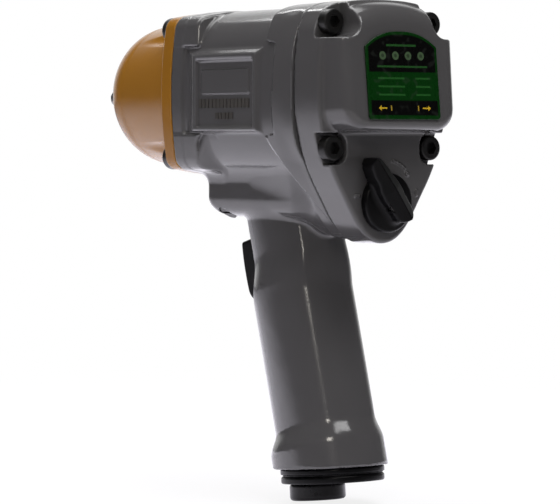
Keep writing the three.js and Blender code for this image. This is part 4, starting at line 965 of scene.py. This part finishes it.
def knob(x, y, z):
    kz = z - knob_height
    p = y * sin(pointer) + kz * cos(pointer)
    q = y * cos(pointer) - kz * sin(pointer)
    high = knob_face - x
    out = np.hypot(p, q)
    base = trim(out - knob_radius, high - 3.2 - 0.15 * (knob_radius - out), 0.9)
    half = 4.6 - 0.07 * np.abs(p - 4) - 0.9 * ramp(p, 8, 20)
    top = high - (pointer_high - 0.09 * np.maximum(p - 6, 0) - 0.62 * np.abs(q))
    bar = rectangle(p - 6.2, q, 13.8, half, 3.2)
    bar = trim(bar, top / 1.18, 0.7)
    bar = trim(bar, 2.2 - high)
    waist = np.hypot(p - 11.0, (np.abs(q) - 9.5) * 0.9) - 5.2
    bar = cut(bar, waist, 0.8)
    body = join(base, bar, 2.0)
    body = trim(body, -high, 0.3)
    body = cut(body, trim(out - stem_radius, high - 8.7))
    return cut(body, trim(np.hypot(p, high - pin_high) - pin_radius - 0.1, np.abs(q) - 3.7))


knob_piece = casting("knob_moulding", knob, (
    spaced((-180, -165, 0.4)), spaced((-14, 22, 0.42)), spaced((-56, -20, 0.42))))
black_nylon = plastic("black_nylon", (0.0022, 0.0021, 0.0024))
knob_piece.data.materials.append(black_nylon)
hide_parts("reverse_knob")
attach(knob_piece, "knob")


def roll_pin(x, y, z):
    p = y * sin(pointer) + (z - knob_height) * cos(pointer)
    q = y * cos(pointer) - (z - knob_height) * sin(pointer)
    return trim(np.hypot(p, knob_face - x - pin_high) - pin_radius, np.abs(q) - 3.5, 0.2)


pin_piece = casting("roll_pin", roll_pin, (
    spaced((-178, -168, 0.25)), spaced((-6, 6, 0.25)), spaced((-46, -36, 0.25))))
pin_piece.data.materials.append(metal("pin_steel", (0.30, 0.295, 0.29), 0.28, 0.14))
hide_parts("knob_pin")
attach(pin_piece, "knob")


# ---- handle base: exhaust deflector and air inlet -----------------------------------------------
# A black nylon deflector closes the handle's base and lets the exhaust air out through three
# slots. The steel inlet bushing screws up through it, with a round boss below for the hose.
deflector_low, boss_low, boss_high = -5.7, -12.5, -6.0
lip_out, core_out, lower_out = 0.8, -0.4, 0.6
collar_out, neck_out, thread_out, thread_pitch = 10.6, 8.0, 5.7, 1.4


def deflector(x, y, z):
    gx, gy, gz = in_grip(x, y, z)
    fx, fy, fz = in_foot(gx, gy, gz)
    lip = trim(grip_section(fx, fy, lip_out), between(fz, -2.3, -0.3), 0.5)
    core = trim(grip_section(fx, fy, core_out), between(fz, -4.0, -0.3))
    lower = trim(grip_section(fx, fy, lower_out), between(fz, deflector_low, -3.1), 0.8)
    body = join(join(lip, core, 0.3), lower, 0.3)
    slot = rectangle(fx - exhaust, np.abs(np.abs(fy) - 4.0) - 4.0, 4.0, 2.2, 1.0)
    body = cut(body, slot, 0.3)
    return cut(body, np.hypot(fx - inlet_ahead, fy) - 8.3, 0.3)


def boss(x, y, z):
    gx, gy, gz = in_grip(x, y, z)
    fx, fy, fz = in_foot(gx, gy, gz)
    out = np.hypot(fx - inlet_ahead, fy)
    collar = trim(out - collar_out, between(fz, boss_low, boss_high), 1.4)
    neck = trim(out - neck_out, between(fz, boss_high - 1, 9.2))
    body = join(collar, neck, 0.3)
    threads = out - thread_out - 0.35 * np.cos(2 * pi * fz / thread_pitch)
    body = cut(body, trim(threads, fz - 8.0), 0.2)
    return cut(body, trim(out - 7.1, 7.7 - fz))


base_grid = (spaced((-162, -108, 0.5)), spaced((-22, 22, 0.5)), spaced((-158, -126, 0.42)))
deflector_piece = casting("deflector_moulding", deflector, base_grid)
deflector_piece.data.materials.append(black_nylon)
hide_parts("exhaust_deflector")
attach(deflector_piece, "housing")

boss_piece = casting("inlet_bushing_turned", boss, (
    spaced((-142, -114, 0.42)), spaced((-12, 12, 0.42)), spaced((-158, -128, 0.38))))
boss_piece.data.materials.append(metal("inlet_steel", (0.012, 0.0115, 0.012), 0.30, 0.25,
                                       metallic=0.3))
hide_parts("inlet_bushing")
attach(boss_piece, "housing")


# ---- trigger ------------------------------------------------------------------------------------
# The trigger is moulded in black nylon and pushed onto a ground steel stem, which slides in a
# brass bushing and tips the throttle valve off its seat.
def trigger(x, y, z):
    gx, gy, gz = in_grip(x, y, z)
    crown = 25.9 - 0.006 * (gz - 12) ** 2
    profile = trim(rectangle(gx - 12, gz - 11.9, 14.2, 12.1, 2.2), gx - crown, 1.0)
    profile = trim(profile, (gx - 25.9 - 0.9 * (gz - 3.5)) / 1.35, 1.5)
    body = trim(profile, np.abs(gy) - 6.3, 1.3)
    body = trim(body, 17.0 - gx, 0.4)
    body = cut(body, trim(np.hypot(gy, gz - 10) - 2.3, gx - 21.4))
    return body


trigger_grid = (spaced((-106, -82, 0.42)), spaced((-7.5, 7.5, 0.42)), spaced((-84, -50, 0.42)))
trigger_piece = casting("trigger_moulding", trigger, trigger_grid)
trigger_piece.data.materials.append(black_nylon)
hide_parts("trigger")
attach(trigger_piece, "trigger")


# ---- drive end and clutch --------------------------------------------------------------------
# The anvil is forged and heat-treated, with a square drive and a spring ring for the socket.
# Behind it the cage carries two hammers on pins; all are ground, oiled steel.
def finish_nodes(material, *names):
    for name in names:
        slots = bpy.data.objects[name].material_slots
        for slot in slots:
            slot.material = material


forged = metal("forged_steel", (0.16, 0.155, 0.15), 0.34, 0.18)
ground = metal("ground_steel", (0.42, 0.415, 0.41), 0.24, 0.10)
finish_nodes(forged, "anvil", "hammer_cage")
finish_nodes(ground, "hammer_1", "hammer_2", "hammer_pin_1", "hammer_pin_2",
             "socket_retaining_ring")
bronze = metal("sintered_bronze", (0.36, 0.20, 0.075), 0.42, 0.20)
finish_nodes(bronze, "anvil_bushing")


# ---- air motor ---------------------------------------------------------------------------------
# Six phenolic vanes slide in a ground rotor, inside a cylinder between two end plates with
# ball bearings. A dowel keeps the cylinder from turning.
plate_steel = metal("end_plate_steel", (0.20, 0.195, 0.19), 0.30, 0.14)
finish_nodes(ground, "rotor", "motor_cylinder", "cylinder_dowel",
             "front_bearing_outer_ring", "front_bearing_inner_ring", "front_bearing_balls",
             "rear_bearing_outer_ring", "rear_bearing_inner_ring", "rear_bearing_balls")
finish_nodes(plate_steel, "front_end_plate", "rear_end_plate")
finish_nodes(sheet_stock("phenolic", (0.20, 0.085, 0.030), (0.12, 0.050, 0.020), 900.0, 0.45),
             *[f"vane_{i}" for i in range(1, 7)])


# ---- reversing valve, throttle and exhaust ------------------------------------------------------
# The reversing valve turns in a brass sleeve with a ball detent. The throttle's brass valve
# tips on its seat, a brass screen guards the inlet, and felt quietens the exhaust.
brass = metal("turned_brass", (0.50, 0.33, 0.10), 0.26, 0.12)
finish_nodes(plate_steel, "reverse_valve")
finish_nodes(brass, "reverse_valve_sleeve", "inlet_screen", "throttle_seat", "throttle_valve",
             "trigger_bushing")
finish_nodes(ground, "detent_ball", "detent_spring", "throttle_spring", "trigger_stem")
finish_nodes(sheet_stock("exhaust_felt", (0.10, 0.095, 0.085), (0.05, 0.048, 0.044), 1300.0, 0.9),
             "exhaust_muffler")


# ---- oil plug -------------------------------------------------------------------------------
# A slotted plug of blackened steel closes the oil hole, sunk in the belly's lower left edge.
finish_nodes(black_oxide, "oil_plug")
